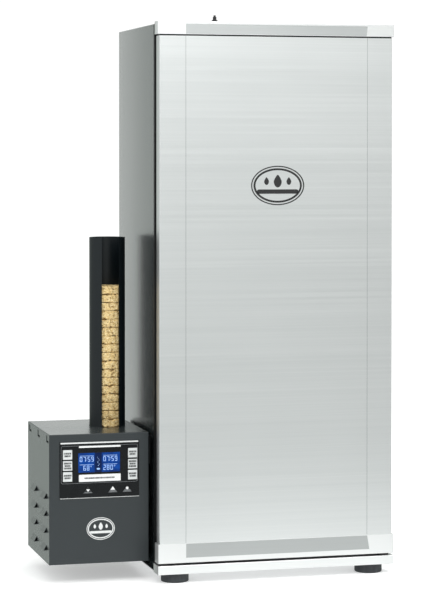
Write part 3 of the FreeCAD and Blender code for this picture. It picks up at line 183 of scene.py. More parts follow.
def studio():
    bpy.context.scene.view_settings.view_transform = "Standard"
    sky()
    floor()
    area_light("overhead", (0.60, -0.45, 2.7), (0.0, 0.0, 0.0), (2.0, 1.6), 34.0)
    area_light("left_front", (-3.2, -1.5, 1.9), (-0.2, 0.0, 0.35), (1.4, 1.4), 9.0)
    area_light("door_top", (-0.25, -1.6, 1.75), (0.0, 0.0, 1.0), (1.7, 0.8), 14.5)
    area_light("side_rear", (-0.09, 0.50, 0.62), (-0.09, 0.0, 0.62), (0.28, 1.3), 0.62)
    # Painted reflections: black cards darken the reflections beside the tube, in the gap by the
    # generator and from the right; glowing cards paint highlights on the door's left flank, at the foot
    # of the front left edge and on the door's lower part.
    card("tube_card", (-0.195, 0.060, 0.262), (-0.134, 0.060, 0.598))
    card("gap_card", (-0.1225, -0.120, 0.004), (-0.1225, 0.085, 0.257))
    card("flank_card", (-0.1300, -0.172, 0.072), (-0.1300, -0.136, 0.975), 0.85)
    card("heel_card", (-0.1300, -0.172, 0.010), (-0.1300, -0.118, 0.070), 0.30)
    card("toe_card", (-0.35, -0.95, -0.34), (0.75, -0.95, -0.02), 1.35)
    card("right_card", (1.25, -2.50, 0.05), (2.20, -2.50, 0.60))


def edges(name):
    low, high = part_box(name)
    return Vector(low), Vector(high)


# ---------------------------------------------------------------- material helpers

class Surface:
    """A procedural material on one Principled shader."""

    def __init__(self, name, metallic=0.0, **sockets):
        self.material = bpy.data.materials.new(name)
        self.material.use_nodes = True
        self.tree = self.material.node_tree
        self.shader = self.tree.nodes["Principled BSDF"]
        self.shader.inputs["Metallic"].default_value = metallic
        for socket, number in sockets.items():
            self.shader.inputs[socket.replace("_", " ")].default_value = number
        self.place = self.tree.nodes.new("ShaderNodeTexCoord").outputs["Object"]

    def node(self, kind, **settings):
        made = self.tree.nodes.new(kind)
        for name, setting in settings.items():
            setattr(made, name, setting)
        return made

    def link(self, start, end):
        self.tree.links.new(start, end)

    def stretched(self, scale):
        """Object coordinates multiplied by a scale along each axis."""
        mapping = self.node("ShaderNodeMapping")
        mapping.inputs["Scale"].default_value = scale
        self.link(self.place, mapping.inputs["Vector"])
        return mapping.outputs["Vector"]

    def noise(self, scale, detail=2.0, roughness=0.5):
        texture = self.node("ShaderNodeTexNoise")
        texture.inputs["Scale"].default_value = 1.0
        texture.inputs["Detail"].default_value = detail
        texture.inputs["Roughness"].default_value = roughness
        self.link(self.stretched(scale), texture.inputs["Vector"])
        return texture.outputs["Fac"]

    def cells(self, scale, output):
        texture = self.node("ShaderNodeTexVoronoi")
        texture.inputs["Scale"].default_value = 1.0
        self.link(self.stretched(scale), texture.inputs["Vector"])
        return texture.outputs[output]

    def ramp(self, value, stops):
        """Colour or grey level from a value: stops are (position, colour)."""
        made = self.node("ShaderNodeValToRGB")
        ramp = made.color_ramp
        while len(ramp.elements) < len(stops):
            ramp.elements.new(0.5)
        for element, (position, colour) in zip(ramp.elements, stops):
            element.position = position
            element.color = (*colour, 1.0)
        self.link(value, made.inputs["Fac"])
        return made.outputs["Color"]

    def level(self, value, low, high, start=0.3, end=0.7):
        """A number that runs from low to high as the value runs from start to end."""
        made = self.node("ShaderNodeMapRange")
        limits = (("From Min", start), ("From Max", end), ("To Min", low), ("To Max", high))
        for name, number in limits:
            made.inputs[name].default_value = number
        self.link(value, made.inputs["Value"])
        return made.outputs["Result"]

    def math(self, operation, first, second):
        made = self.node("ShaderNodeMath", operation=operation)
        for socket, term in zip(made.inputs, (first, second)):
            if isinstance(term, (int, float)):
                socket.default_value = term
            else:
                self.link(term, socket)
        return made.outputs["Value"]

    def mix(self, factor, first, second, blend_type="MIX"):
        made = self.node("ShaderNodeMix", data_type="RGBA", blend_type=blend_type)
        colours = [socket for socket in made.inputs if socket.type == "RGBA"]
        for socket, colour in zip(colours, (first, second)):
            if isinstance(colour, tuple):
                socket.default_value = (*colour, 1.0)
            else:
                self.link(colour, socket)
        fac = made.inputs["Factor"]
        if isinstance(factor, (int, float)):
            fac.default_value = factor
        else:
            self.link(factor, fac)
        return next(socket for socket in made.outputs if socket.type == "RGBA")

    def between(self, axis, low, high, soft=0.0002):
        """1 where the place along an axis lies between two levels, else 0."""
        split = self.node("ShaderNodeSeparateXYZ")
        self.link(self.place, split.inputs["Vector"])
        place = split.outputs[axis]
        rise = self.level(place, 0.0, 1.0, low - soft, low + soft)
        fall = self.level(place, 1.0, 0.0, high - soft, high + soft)
        return self.math("MULTIPLY", rise, fall)

    def colour(self, output):
        self.link(output, self.shader.inputs["Base Color"])
        return self

    def roughness(self, output):
        self.link(output, self.shader.inputs["Roughness"])
        return self

    def bump(self, height, distance, strength=1.0):
        """Relief with a height given in metres for a value of one."""
        made = self.node("ShaderNodeBump")
        made.inputs["Distance"].default_value = distance
        made.inputs["Strength"].default_value = strength
        self.link(height, made.inputs["Height"])
        self.link(made.outputs["Normal"], self.shader.inputs["Normal"])
        return self


def even(scale):
    return (scale, scale, scale)


def shade(colour, factor):
    return tuple(min(1.0, part * factor) for part in colour)


# ---------------------------------------------------------------- materials

def powder_coat(name, colour, rough, gloss=0.0, shine=0.5):
    """Baked powder coat: orange-peel relief, faint flecks and a few rubbed patches in the gloss."""
    coat = Surface(
        name, IOR=1.5, Specular_IOR_Level=shine, Coat_Weight=gloss, Coat_Roughness=0.25, Coat_IOR=1.5
    )
    peel = coat.noise(even(520.0), 2.0)
    rubbed = coat.noise((7.0, 7.0, 3.5), 2.0, 0.4)
    flecks = coat.noise(even(2600.0), 1.0)
    tone = coat.ramp(rubbed, ((0.20, shade(colour, 0.92)), (0.80, shade(colour, 1.08))))
    speck = coat.level(flecks, 0.0, 0.30, 0.66, 0.78)
    coat.colour(coat.mix(speck, tone, shade(colour, 1.8)))
    coat.roughness(coat.level(rubbed, rough - 0.02, rough + 0.03, 0.2, 0.8))
    coat.bump(peel, 0.00001, 0.30)
    return coat


def lit_case_coat(name, colour):
    """The generator's coat: a lighter copy of the cabinet's coat, as painted light on its sides, and
    less gloss on its top as painted shade.
    """
    coat = powder_coat(name, colour, 0.26, 1.0)
    top = edges("generator_case")[1].z
    # Painted shade: the top face gets less coat and gloss, which darkens it.
    shaded_top = coat.between("Z", top - 0.6 * MM, top + 1.0 * MM)
    coat.link(coat.level(shaded_top, 1.0, 0.35, 0.0, 1.0), coat.shader.inputs["Coat Weight"])
    coat.link(coat.level(shaded_top, 0.5, 0.40, 0.0, 1.0), coat.shader.inputs["Specular IOR Level"])
    return coat.material


def brushed(name, colour, rough, grain, contrast):
    """Brushed metal: fine lines along one axis, longer streaks, and soft cloudy wear."""
    def along(axis, fine, coarse):
        return tuple(coarse if letter == axis else fine for letter in "XYZ")
    metal = Surface(name, metallic=1.0)
    lines = metal.noise(along(grain, 2300.0, 3.0), 3.0, 0.65)
    streaks = metal.noise(along(grain, 368.0, 1.5), 2.0)
    clouds = metal.noise(even(5.0), 3.0)
    both = metal.math("ADD", metal.math("MULTIPLY", lines, 0.7), metal.math("MULTIPLY", streaks, 0.3))
    tone = metal.ramp(both, ((0.25, shade(colour, 1 - contrast)), (0.75, shade(colour, 1 + contrast))))
    cloudy = metal.ramp(clouds, ((0.3, (0.95, 0.95, 0.95)), (0.7, (1.0, 1.0, 1.0))))
    metal.colour(metal.mix(1.0, tone, cloudy, "MULTIPLY"))
    metal.roughness(metal.level(both, rough - 0.06, rough + 0.08))
    metal.bump(both, 0.00002, 0.5)
    return metal.material


def plastic(name, colour, rough=0.45, grain=1500.0, relief=0.04 * MM, shine=0.5):
    """Moulded plastic with a fine spark-eroded grain and a little dust in it."""
    body = Surface(name, IOR=1.46, Specular_IOR_Level=shine)
    grit = body.noise(even(grain), 2.0)
    dust = body.noise(even(40.0), 4.0)
    body.colour(body.ramp(dust, ((0.35, shade(colour, 0.9)), (0.75, shade(colour, 1.15)))))
    body.roughness(body.level(dust, rough - 0.05, rough + 0.06))
    body.bump(grit, relief, 0.6)
    return body.material


def rubber(name, colour):
    """Matt rubber with a bloom of pale dust and mould grain."""
    skin = Surface(name, IOR=1.5, Specular_IOR_Level=0.35)
    bloom = skin.noise(even(55.0), 5.0, 0.6)
    grit = skin.noise(even(1100.0), 2.0)
    skin.colour(skin.ramp(bloom, ((0.40, colour), (0.80, shade(colour, 1.9)))))
    skin.roughness(skin.level(bloom, 0.55, 0.75))
    skin.bump(grit, 0.00008, 0.6)
    return skin.material


def chrome(name, colour):
    """Bright plating with fine scratches and faint haze."""
    plate = Surface(name, metallic=1.0)
    haze = plate.noise(even(60.0), 4.0)
    scratches = plate.noise((1600.0, 60.0, 1600.0), 2.0)
    plate.colour(plate.ramp(haze, ((0.3, shade(colour, 0.94)), (0.7, colour))))
    plate.roughness(plate.level(haze, 0.12, 0.22))
    plate.bump(scratches, 0.00001, 0.4)
    return plate.material


def galvanised(name, colour):
    """Zinc-coated sheet with spangle."""
    zinc = Surface(name, metallic=0.9)
    spangle = zinc.cells(even(140.0), "Color")
    grey = zinc.node("ShaderNodeRGBToBW")
    zinc.link(spangle, grey.inputs["Color"])
    zinc.colour(zinc.ramp(grey.outputs["Val"], ((0.2, shade(colour, 0.86)), (0.8, shade(colour, 1.06)))))
    zinc.roughness(zinc.level(grey.outputs["Val"], 0.34, 0.5, 0.2, 0.8))
    zinc.bump(zinc.noise(even(500.0)), 0.00003, 0.5)
    return zinc.material


def pressed_wood(name):
    """Compressed wood chips: pale and tan flakes with dark gaps between some of them."""
    wood = Surface(name, IOR=1.4, Specular_IOR_Level=0.25)
    flakes = wood.cells((480.0, 480.0, 760.0), "Color")
    grey = wood.node("ShaderNodeRGBToBW")
    wood.link(flakes, grey.inputs["Color"])
    fibre = wood.noise((900.0, 900.0, 2400.0), 3.0)
    mottle = wood.noise(even(230.0), 4.0, 0.7)
    tone = wood.ramp(grey.outputs["Val"], (
        (0.15, (0.53, 0.335, 0.115)), (0.42, (0.74, 0.520, 0.215)), (0.66, (0.85, 0.660, 0.335)),
        (0.90, (0.97, 0.820, 0.520)),
    ))
    grain_tones = wood.ramp(fibre, ((0.3, (0.55, 0.38, 0.15)), (0.7, (1.0, 0.84, 0.50))))
    grained = wood.mix(0.30, tone, grain_tones)
    pits = wood.level(mottle, 1.0, 0.0, 0.36, 0.45)
    wood.colour(wood.mix(pits, grained, (0.22, 0.120, 0.035)))
    wood.roughness(wood.level(mottle, 0.72, 0.9))
    wood.bump(wood.math("ADD", mottle, wood.math("MULTIPLY", grey.outputs["Val"], 0.5)), 0.0006, 0.9)
    return wood.material


def mineral_wool(name):
    wool = Surface(name, Specular_IOR_Level=0.1)
    fibre = wool.noise((300.0, 300.0, 900.0), 5.0, 0.7)
    wool.colour(wool.ramp(fibre, ((0.3, (0.34, 0.29, 0.15)), (0.7, (0.66, 0.58, 0.36)))))
    wool.roughness(wool.level(fibre, 0.85, 1.0))
    wool.bump(fibre, 0.001, 0.9)
    return wool.material


def heater_alloy(name):
    """Oxidised sheath: brown and blue-grey scale."""
    sheath = Surface(name, metallic=0.75)
    scale = sheath.noise(even(180.0), 5.0, 0.65)
    sheath.colour(sheath.ramp(scale, (
        (0.3, (0.055, 0.045, 0.040)), (0.55, (0.13, 0.095, 0.075)), (0.75, (0.16, 0.17, 0.19)),
    )))
    sheath.roughness(sheath.level(scale, 0.4, 0.7))
    sheath.bump(scale, 0.0001, 0.6)
    return sheath.material


def stained_plate(name):
    """Cast hot plate, patchily brown with smoke."""
    plate = Surface(name, metallic=0.8)
    stain = plate.noise(even(26.0), 5.0, 0.6)
    pits = plate.noise(even(700.0), 2.0)
    plate.colour(plate.ramp(stain, ((0.35, (0.10, 0.065, 0.04)), (0.7, (0.42, 0.38, 0.33)))))
    plate.roughness(plate.level(stain, 0.65, 0.4))
    plate.bump(pits, 0.00015, 0.6)
    return plate.material


def circuit_board(name):
    board = Surface(name, IOR=1.5)
    tracks = board.cells(even(260.0), "Distance")
    mask = board.noise(even(90.0), 2.0)
    board.colour(board.mix(
        board.level(tracks, 0.0, 1.0, 0.42, 0.5),
        board.ramp(mask, ((0.3, (0.012, 0.085, 0.035)), (0.7, (0.020, 0.13, 0.055)))),
        (0.05, 0.20, 0.10),
    ))
    board.roughness(board.level(mask, 0.25, 0.4))
    board.bump(tracks, 0.00005, 0.5)
    return board.material


def door_metal(name):
    """Brushed door sheet: fine level grain, longer level streaks and soft clouds."""
    metal = Surface(name, metallic=1.0)
    lines = metal.noise((2.5, 2000.0, 2000.0), 4.0, 0.7)
    streaks = metal.noise((1.2, 260.0, 260.0), 3.0, 0.6)
    both = metal.math("ADD", metal.math("MULTIPLY", lines, 0.6), metal.math("MULTIPLY", streaks, 0.4))
    tone = metal.ramp(both, ((0.25, (0.735, 0.750, 0.750)), (0.75, (0.835, 0.845, 0.845))))
    clouds = metal.noise((2.2, 2.2, 1.6), 3.0, 0.5)
    soft = metal.ramp(clouds, ((0.3, (0.94, 0.945, 0.945)), (0.7, (1.0, 1.0, 1.0))))
    metal.colour(metal.mix(1.0, tone, soft, "MULTIPLY"))
    metal.roughness(metal.level(both, 0.30, 0.42))
    metal.bump(both, 0.00002, 0.45)
    return metal.material


def lit_glass(name):
    """Blue liquid-crystal window: two lit blocks beside a dark middle, with a fine grid of cells."""
    glass = Surface(name, IOR=1.4, Roughness=0.12, Specular_IOR_Level=0.2)
    low, high = edges("display")
    width, height = high.x - low.x, high.z - low.z
    left = glass.between("X", low.x + 0.02 * width, low.x + 0.40 * width, 0.0012)
    right = glass.between("X", low.x + 0.56 * width, low.x + 0.965 * width, 0.0012)
    rows = glass.between("Z", low.z + 0.07 * height, high.z - 0.04 * height, 0.0010)
    lit = glass.math("MULTIPLY", glass.math("ADD", left, right), rows)
    cloud = glass.noise((60.0, 60.0, 90.0), 2.0)
    grid = glass.noise((2600.0, 40.0, 2600.0), 1.0)
    tone = glass.ramp(cloud, ((0.30, (0.002, 0.016, 0.100)), (0.70, (0.003, 0.045, 0.240))))
    tone = glass.mix(glass.level(grid, 0.0, 0.10), tone, (0.02, 0.09, 0.45))
    shown = glass.mix(lit, (0.0025, 0.010, 0.050), tone)
    glass.colour(shown)
    glass.link(shown, glass.shader.inputs["Emission Color"])
    glass.shader.inputs["Emission Strength"].default_value = 0.26
    return glass.material


def lit_mark(name):
    mark = Surface(name, Roughness=0.3)
    glow = mark.noise(even(500.0), 1.0)
    tone = mark.ramp(glow, ((0.3, (0.20, 0.35, 0.68)), (0.7, (0.34, 0.50, 0.80))))
    mark.colour(tone)
    mark.link(tone, mark.shader.inputs["Emission Color"])
    mark.shader.inputs["Emission Strength"].default_value = 0.22
    return mark.material


def print_ink(name, colour, rough=0.5, metallic=0.0):
    """Printed ink with slightly uneven coverage."""
    ink = Surface(name, metallic=metallic)
    cover = ink.noise(even(900.0), 3.0)
    ink.colour(ink.ramp(cover, ((0.25, shade(colour, 0.88)), (0.7, shade(colour, 1.06)))))
    ink.roughness(ink.level(cover, rough - 0.05, rough + 0.08))
    ink.bump(cover, 0.00001, 0.4)
    return ink.material


COAT = (0.020, 0.026, 0.027)
MATERIALS = {
    "coat": powder_coat("powder_coat", COAT, 0.24, 1.0).material,
    # Painted light: the generator case's coat is a lighter copy of the cabinet's coat, to lighten its
    # sides.
    "coat_case_lit": lit_case_coat("powder_case_lit", (0.030, 0.037, 0.038)),
    "coat_front": powder_coat("powder_front", (0.019, 0.025, 0.028), 0.44).material,
    "coat_black": powder_coat("powder_black", (0.003, 0.0035, 0.004), 0.45).material,
    "tube": powder_coat("tube_coat", (0.003, 0.006, 0.008), 0.34, 0.0, 0.38).material,
    "door": door_metal("brushed_door"),
    "trim": brushed("bright_trim", (0.90, 0.905, 0.905), 0.34, "X", 0.02),
    # Cap insets: a darker copy of the bright trim, partly their own grey and partly painted shade of
    # their recess.
    "inset": brushed("inset_satin_shaded", (0.52, 0.535, 0.535), 0.42, "X", 0.05),
    "stainless": brushed("stainless_satin", (0.60, 0.60, 0.595), 0.30, "Z", 0.07),
    "stainless_x": brushed("stainless_level", (0.60, 0.60, 0.595), 0.30, "X", 0.07),
    "machined": brushed("machined_steel", (0.42, 0.42, 0.43), 0.33, "X", 0.10),
    "zinc": galvanised("galvanised_sheet", (0.62, 0.63, 0.64)),
    "chrome": chrome("rack_chrome", (0.80, 0.80, 0.80)),
    "brass": brushed("gear_brass", (0.74, 0.54, 0.22), 0.28, "Z", 0.10),
    "element": heater_alloy("element_alloy"),
    "burner": stained_plate("burner_plate"),
    "wool": mineral_wool("mineral_wool"),
    "foot": rubber("foot_rubber", (0.028, 0.031, 0.034)),
    "seal": rubber("seal_rubber", (0.004, 0.004, 0.005)),
    "plastic": plastic("black_plastic", (0.014, 0.014, 0.016)),
    "panel": plastic("panel_film", (0.005, 0.006, 0.007), 0.28, 900.0, 0.00001, 0.25),
    "key_white": plastic("key_white", (0.60, 0.62, 0.62), 0.42, 900.0, 0.00002),
    "key_black": plastic("key_black", (0.012, 0.014, 0.016), 0.36, 900.0, 0.00002),
    "board": circuit_board("circuit_board"),
    "wood": pressed_wood("pressed_wood"),
    "glass": lit_glass("display_glass"),
    "digit": lit_mark("display_digit"),
    "ink_black": print_ink("ink_black", (0.010, 0.010, 0.011)),
    "ink_grey": print_ink("ink_grey", (0.20, 0.21, 0.22)),
    "ink_dark": print_ink("ink_dark", (0.045, 0.048, 0.052)),
    "ink_silver": print_ink("ink_silver", (0.74, 0.75, 0.75), 0.35, 0.35),
    "ink_white": print_ink("ink_white", (0.74, 0.75, 0.75)),
}

SQUARE_KEYS = ["button_%s_%d" % (side, row) for side in ("left", "right") for row in (1, 2, 3)]
POINTED_KEYS = ["button_down", "button_up", "button_power"]
FINISHES = {
    "coat": "side_wrap back_panel generator_base",
    "coat_case_lit": "generator_case",
    "coat_front": "generator_front",
    "coat_black": "front_frame magazine_socket hinge_brackets hanger_hooks smoke_duct",
    "tube": "magazine_tube",
    "door": "door_skin",
    "trim": "door_top_cap door_bottom_cap base_trim",
    "inset": "cap_insets",
    "stainless": "inner_liner rack_holders door_liner element_shield feed_deck",
    "stainless_x": "drip_tray water_bowl vent_collar damper_plate temperature_probe",
    "machined": "feed_motor pusher",
    "zinc": "bottom_panel",
    "chrome": " ".join("rack_%d" % number for number in range(1, 7)),
    "brass": "drive_pinion",
    "element": "heating_element",
    "burner": "burner",
    "wool": "insulation door_insulation",
    "foot": "feet",
    "seal": "door_gasket",
    "plastic": "hinge_bushes damper_knob power_inlets",
    "panel": "control_panel",
    "board": "control_board",
    "glass": "display",
    "key_white": " ".join(SQUARE_KEYS),
    "key_black": " ".join(POINTED_KEYS),
}


def finish_nodes():
    for finish, names in FINISHES.items():
        for name in names.split():
            for slot in NODES[name].material_slots:
                slot.material = MATERIALS[finish]


# ---------------------------------------------------------------- mesh helpers

def piece(name, mesh, body, finish):
    """Turn a bmesh into a piece that moves with a body."""
    bmesh.ops.recalc_face_normals(mesh, faces=mesh.faces)
    data = bpy.data.meshes.new(name)
    mesh.to_mesh(data)
    mesh.free()
    made = bpy.data.objects.new(name, data)
    bpy.context.collection.objects.link(made)
    data.materials.append(MATERIALS[finish])
    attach(made, body)
    return made


def slab(mesh, outline, front, thickness):
    """A thin plate with an outline of (x, z) points; its face is at y = front."""
    rings = []
    for depth in (front, front + thickness):
        rings.append([mesh.verts.new((x, depth, z)) for x, z in outline])
    mesh.faces.new(rings[0])
    mesh.faces.new(reversed(rings[1]))
    count = len(outline)
    for index in range(count):
        following = (index + 1) % count
        mesh.faces.new((rings[0][index], rings[1][index], rings[1][following], rings[0][following]))


def ring_slab(mesh, outer, inner, front, thickness):
    """A thin closed band between two outlines that have the same number of points."""
    count = len(outer)
    rows = []
    for outline in (outer, inner):
        for depth in (front, front + thickness):
            rows.append([mesh.verts.new((x, depth, z)) for x, z in outline])
    outer_front, outer_back, inner_front, inner_back = rows
    for index in range(count):
        following = (index + 1) % count
        for first, second in (
            (outer_front, outer_back), (outer_back, inner_back),
            (inner_back, inner_front), (inner_front, outer_front),
        ):
            mesh.faces.new((first[index], second[index], second[following], first[following]))


def ellipse(x, z, half_width, half_height, count=72):
    turns = [2 * math.pi * index / count for index in range(count)]
    return [(x + half_width * math.cos(turn), z + half_height * math.sin(turn)) for turn in turns]


def rectangle(low_x, low_z, high_x, high_z):
    return [(low_x, low_z), (high_x, low_z), (high_x, high_z), (low_x, high_z)]


def rounded(low_x, low_z, high_x, high_z, radius, steps=6):
    """A rectangle with rounded corners."""
    corners = (
        (high_x - radius, low_z + radius, -90), (high_x - radius, high_z - radius, 0),
        (low_x + radius, high_z - radius, 90), (low_x + radius, low_z + radius, 180),
    )
    points = []
    for x, z, first in corners:
        for step in range(steps + 1):
            turn = math.radians(first + 90 * step / steps)
            points.append((x + radius * math.cos(turn), z + radius * math.sin(turn)))
    return points


# ---------------------------------------------------------------- printed marks

INK = 0.12 * MM


def printed(mesh, outline, face):
    """A mark of ink on a face that looks towards -Y."""
    slab(mesh, outline, face - INK, INK)


def emblem(name, body, finish, centre, half_width, half_height, front):
    """A blank oval badge: two rings, a plain band across it and three drops above the band."""
    x, z = centre
    mesh = bmesh.new()
    ring_slab(mesh, ellipse(x, z, half_width, half_height),
              ellipse(x, z, half_width * 0.955, half_height * 0.94), front - INK, INK)
    ring_slab(mesh, ellipse(x, z, half_width * 0.91, half_height * 0.875),
              ellipse(x, z, half_width * 0.835, half_height * 0.775), front - INK, INK)
    band_low, band_high = z - half_height * 0.42, z - half_height * 0.20
    band_half = half_width * 0.78
    printed(mesh, rounded(x - band_half, band_low, x + band_half, band_high, half_height * 0.1), front)
    for offset, size in ((-0.42, 0.6), (0.0, 1.0), (0.42, 0.6)):
        drop = []
        for index in range(36):
            turn = 2 * math.pi * index / 36
            narrow = 0.15 * half_width * size * (1 - 0.5 * max(0.0, math.sin(turn)))
            drop.append((x + offset * half_width + narrow * math.cos(turn),
                         z + half_height * (0.22 + 0.32 * size * math.sin(turn))))
        printed(mesh, drop, front)
    piece(name, mesh, body, finish)


def dashes(mesh, x, z, half, height, front, thickness=INK):
    """A broken line of uneven strokes: it stands where a label would, and says nothing."""
    at = x - half
    while at < x + half - 0.6 * MM:
        stroke = random.uniform(0.7, 2.2) * MM
        end = min(at + stroke, x + half)
        slab(mesh, rectangle(at, z - height / 2, end, z + height / 2), front, thickness)
        at = end + random.uniform(0.35, 0.6) * MM


def panel_marks():
    """Strips, outline and label bars printed on the control panel."""
    low, high = edges("control_panel")
    front = low.y
    silver = bmesh.new()
    strip = (low.x + 1.6 * MM, high.z - 2.9 * MM, high.x - 1.4 * MM, high.z - 0.4 * MM)
    printed(silver, rounded(*strip, 0.8 * MM, 3), front)
    foot = (low.x + 0.5 * MM, low.z + 0.4 * MM, high.x - 0.5 * MM, low.z + 1.2 * MM)
    printed(silver, rectangle(*foot), front)
    piece("panel_strips", silver, "cabinet", "ink_silver")

    line = 0.45 * MM
    outline = bmesh.new()
    outer = (low.x + 2.6 * MM, low.z + 26.5 * MM, high.x - 2.6 * MM, high.z - 6.4 * MM)
    inner = (outer[0] + line, outer[1] + line, outer[2] - line, outer[3] - line)
    ring_slab(outline, rounded(*outer, 3.0 * MM), rounded(*inner, 2.6 * MM), front - INK, INK)
    piece("panel_outline", outline, "cabinet", "ink_grey")

    window_low, window_high = edges("display")
    middle = (window_low.x + window_high.x) / 2 + 1.0 * MM
    half, corner = 37.0 * MM, 0.8 * MM
    bar_low = window_high.z + 6.1 * MM
    label_high = window_low.z - 0.6 * MM
    white = bmesh.new()
    for bottom, top in ((bar_low, bar_low + 3.0 * MM), (label_high - 12.4 * MM, label_high)):
        printed(white, rounded(middle - half, bottom, middle + half, top, corner), front)
    piece("panel_label_bars", white, "cabinet", "ink_white")
    words = bmesh.new()
    dashes(words, middle, label_high - 6.3 * MM, 27 * MM, 2.7 * MM, front - 1.8 * INK, 0.8 * INK)
    piece("panel_label_line", words, "cabinet", "ink_dark")


SEGMENTS = {
    "0": "abcdef", "1": "bc", "2": "abged", "3": "abgcd", "4": "fgbc", "5": "afgcd",
    "6": "afgedc", "7": "abc", "8": "abcdefg", "9": "abcdfg",
}


def digit(mesh, figure, x, z, height, front):
    """One seven-segment figure with its lower left corner at x, z."""
    width, bar = height * 0.52, height * 0.13
    gap = bar * 0.18
    half = height / 2
    level = {"a": height - bar, "g": half - bar / 2, "d": 0.0}
    upright = {"f": (0.0, half), "b": (width - bar, half), "e": (0.0, 0.0), "c": (width - bar, 0.0)}
    for part in SEGMENTS[figure]:
        if part in level:
            low = z + level[part]
            printed(mesh, rectangle(x + bar * 0.6, low, x + width - bar * 0.6, low + bar), front)
        else:
            across, up = x + upright[part][0], z + upright[part][1]
            printed(mesh, rectangle(across, up + gap, across + bar, up + half - gap), front)


def display_marks():
    """Two clock readings over two temperatures, with a few smoke dots between them."""
    low, high = edges("display")
    front = low.y
    margin = 3.0 * MM
    left, bottom = low.x + margin, low.z + margin
    width, height = high.x - low.x - 2 * margin, high.z - low.z - 2 * margin
    tall, colon_size = 8.6 * MM, 1.0 * MM
    step = tall * 0.72
    mesh = bmesh.new()
    upper, lower = bottom + height * 0.55, bottom + height * 0.10
    for start, figures, level in (
        (0.035, "0759", upper), (0.60, "0759", upper), (0.12, "68", lower), (0.60, "280", lower)
    ):
        x = left + width * start
        clock = len(figures) == 4
        for index, figure in enumerate(figures):
            colon = 1.6 * MM if clock and index > 1 else 0.0
            digit(mesh, figure, x + index * step + colon, level, tall, front)
        if clock:
            for rise in (0.3, 0.66):
                dot, up = x + 2 * step - colon_size / 2, level + tall * rise
                printed(mesh, rectangle(dot, up, dot + colon_size, up + colon_size), front)
        else:
            degree = (x + len(figures) * step + 1.3 * MM, level + tall * 0.82)
            ring_slab(mesh, ellipse(*degree, 1.3 * MM, 1.3 * MM, 20),
                      ellipse(*degree, 0.7 * MM, 0.7 * MM, 20), front - INK, INK)
    for start, end in ((0.035, 0.37), (0.60, 0.93)):
        for figures_low in (upper, lower):
            level = figures_low + tall + 1.2 * MM
            rule = rectangle(left + width * start, level, left + width * end, level + 0.7 * MM)
            printed(mesh, rule, front)
    middle = left + width * 0.48
    for index in range(7):
        x = middle + 1.6 * MM * math.sin(index * 1.9)
        z = bottom + height * (0.34 + 0.07 * index)
        size = (0.85 - 0.05 * index) * MM
        printed(mesh, ellipse(x, z, size, size * 0.7, 12), front)
    printed(mesh, ellipse(middle, bottom + height * 0.17, 2.9 * MM, 1.7 * MM, 24), front)
    piece("display_figures", mesh, "cabinet", "digit")


def square_key_marks():
    """Two or three rows of strokes on each square key, where its words would be."""
    row_pitch, row_height = 4.3 * MM, 3.1 * MM
    for name in SQUARE_KEYS:
        low, high = edges(name)
        key_row = int(name[-1])
        mesh = bmesh.new()
        middle_x, middle_z = (low.x + high.x) / 2, (low.z + high.z) / 2
        bars = 3 if key_row == 2 else 2
        for index in range(bars):
            half = (6.6 - 1.2 * ((index + key_row) % 2)) * MM
            level = middle_z + (index - (bars - 1) / 2) * row_pitch
            dashes(mesh, middle_x, level, half, row_height, low.y - INK)
        piece(name + "_bars", mesh, name + "_key", "ink_black")


def pointed_key_marks():
    """A white sign over grey hatching on each of the three pointed keys."""
    stroke, pitch = 0.62 * MM, 1.05 * MM
    for name in POINTED_KEYS:
        low, high = edges(name)
        front, top = low.y, high.z
        middle = (low.x + high.x) / 2
        sign = bmesh.new()
        if name == "button_power":
            printed(sign, ellipse(middle, top - 5.0 * MM, 2.4 * MM, 2.4 * MM, 28), front)
        elif name == "button_down":
            half, level, tip = 3.3 * MM, top - 4.9 * MM, top - 9.2 * MM
            printed(sign, [(middle - half, level), (middle, tip), (middle + half, level)], front)
        else:
            half, level, tip = 4.2 * MM, top - 7.1 * MM, top - 0.9 * MM
            printed(sign, [(middle - half, level), (middle + half, level), (middle, tip)], front)
        piece(name + "_sign", sign, name + "_key", "ink_white")
        hatch = bmesh.new()
        for index in range(2 if name == "button_down" else 4):
            rise = 0.5 * MM + pitch * index
            half = 8.0 * MM * (1 - rise / (top - low.z)) - 0.3 * MM
            bar = rectangle(middle - half, low.z + rise, middle + half, low.z + rise + stroke)
            printed(hatch, bar, front)
        piece(name + "_hatch", hatch, name + "_key", "ink_grey")


def badges():
    """The same plain badge on the door and, smaller, on the generator's front."""
    low, high = edges("door_skin")
    middle = (94.7 * MM, low.z + 0.705 * (high.z - low.z))
    emblem("door_badge", "door", "ink_black", middle, 48.5 * MM, 34.5 * MM, low.y)
    low, high = edges("generator_front")
    middle = (low.x + 90.7 * MM, low.z + 60.3 * MM)
    emblem("generator_badge", "cabinet", "ink_silver", middle, 25 * MM, 19.5 * MM, low.y)


SEAM_PLACES = (-71.0 * MM, 260.0 * MM)
SEAM_HALF = 0.28 * MM
SEAM_DEPTH = 0.30 * MM
GAP_SHADE_DEPTH = 0.8 * MM


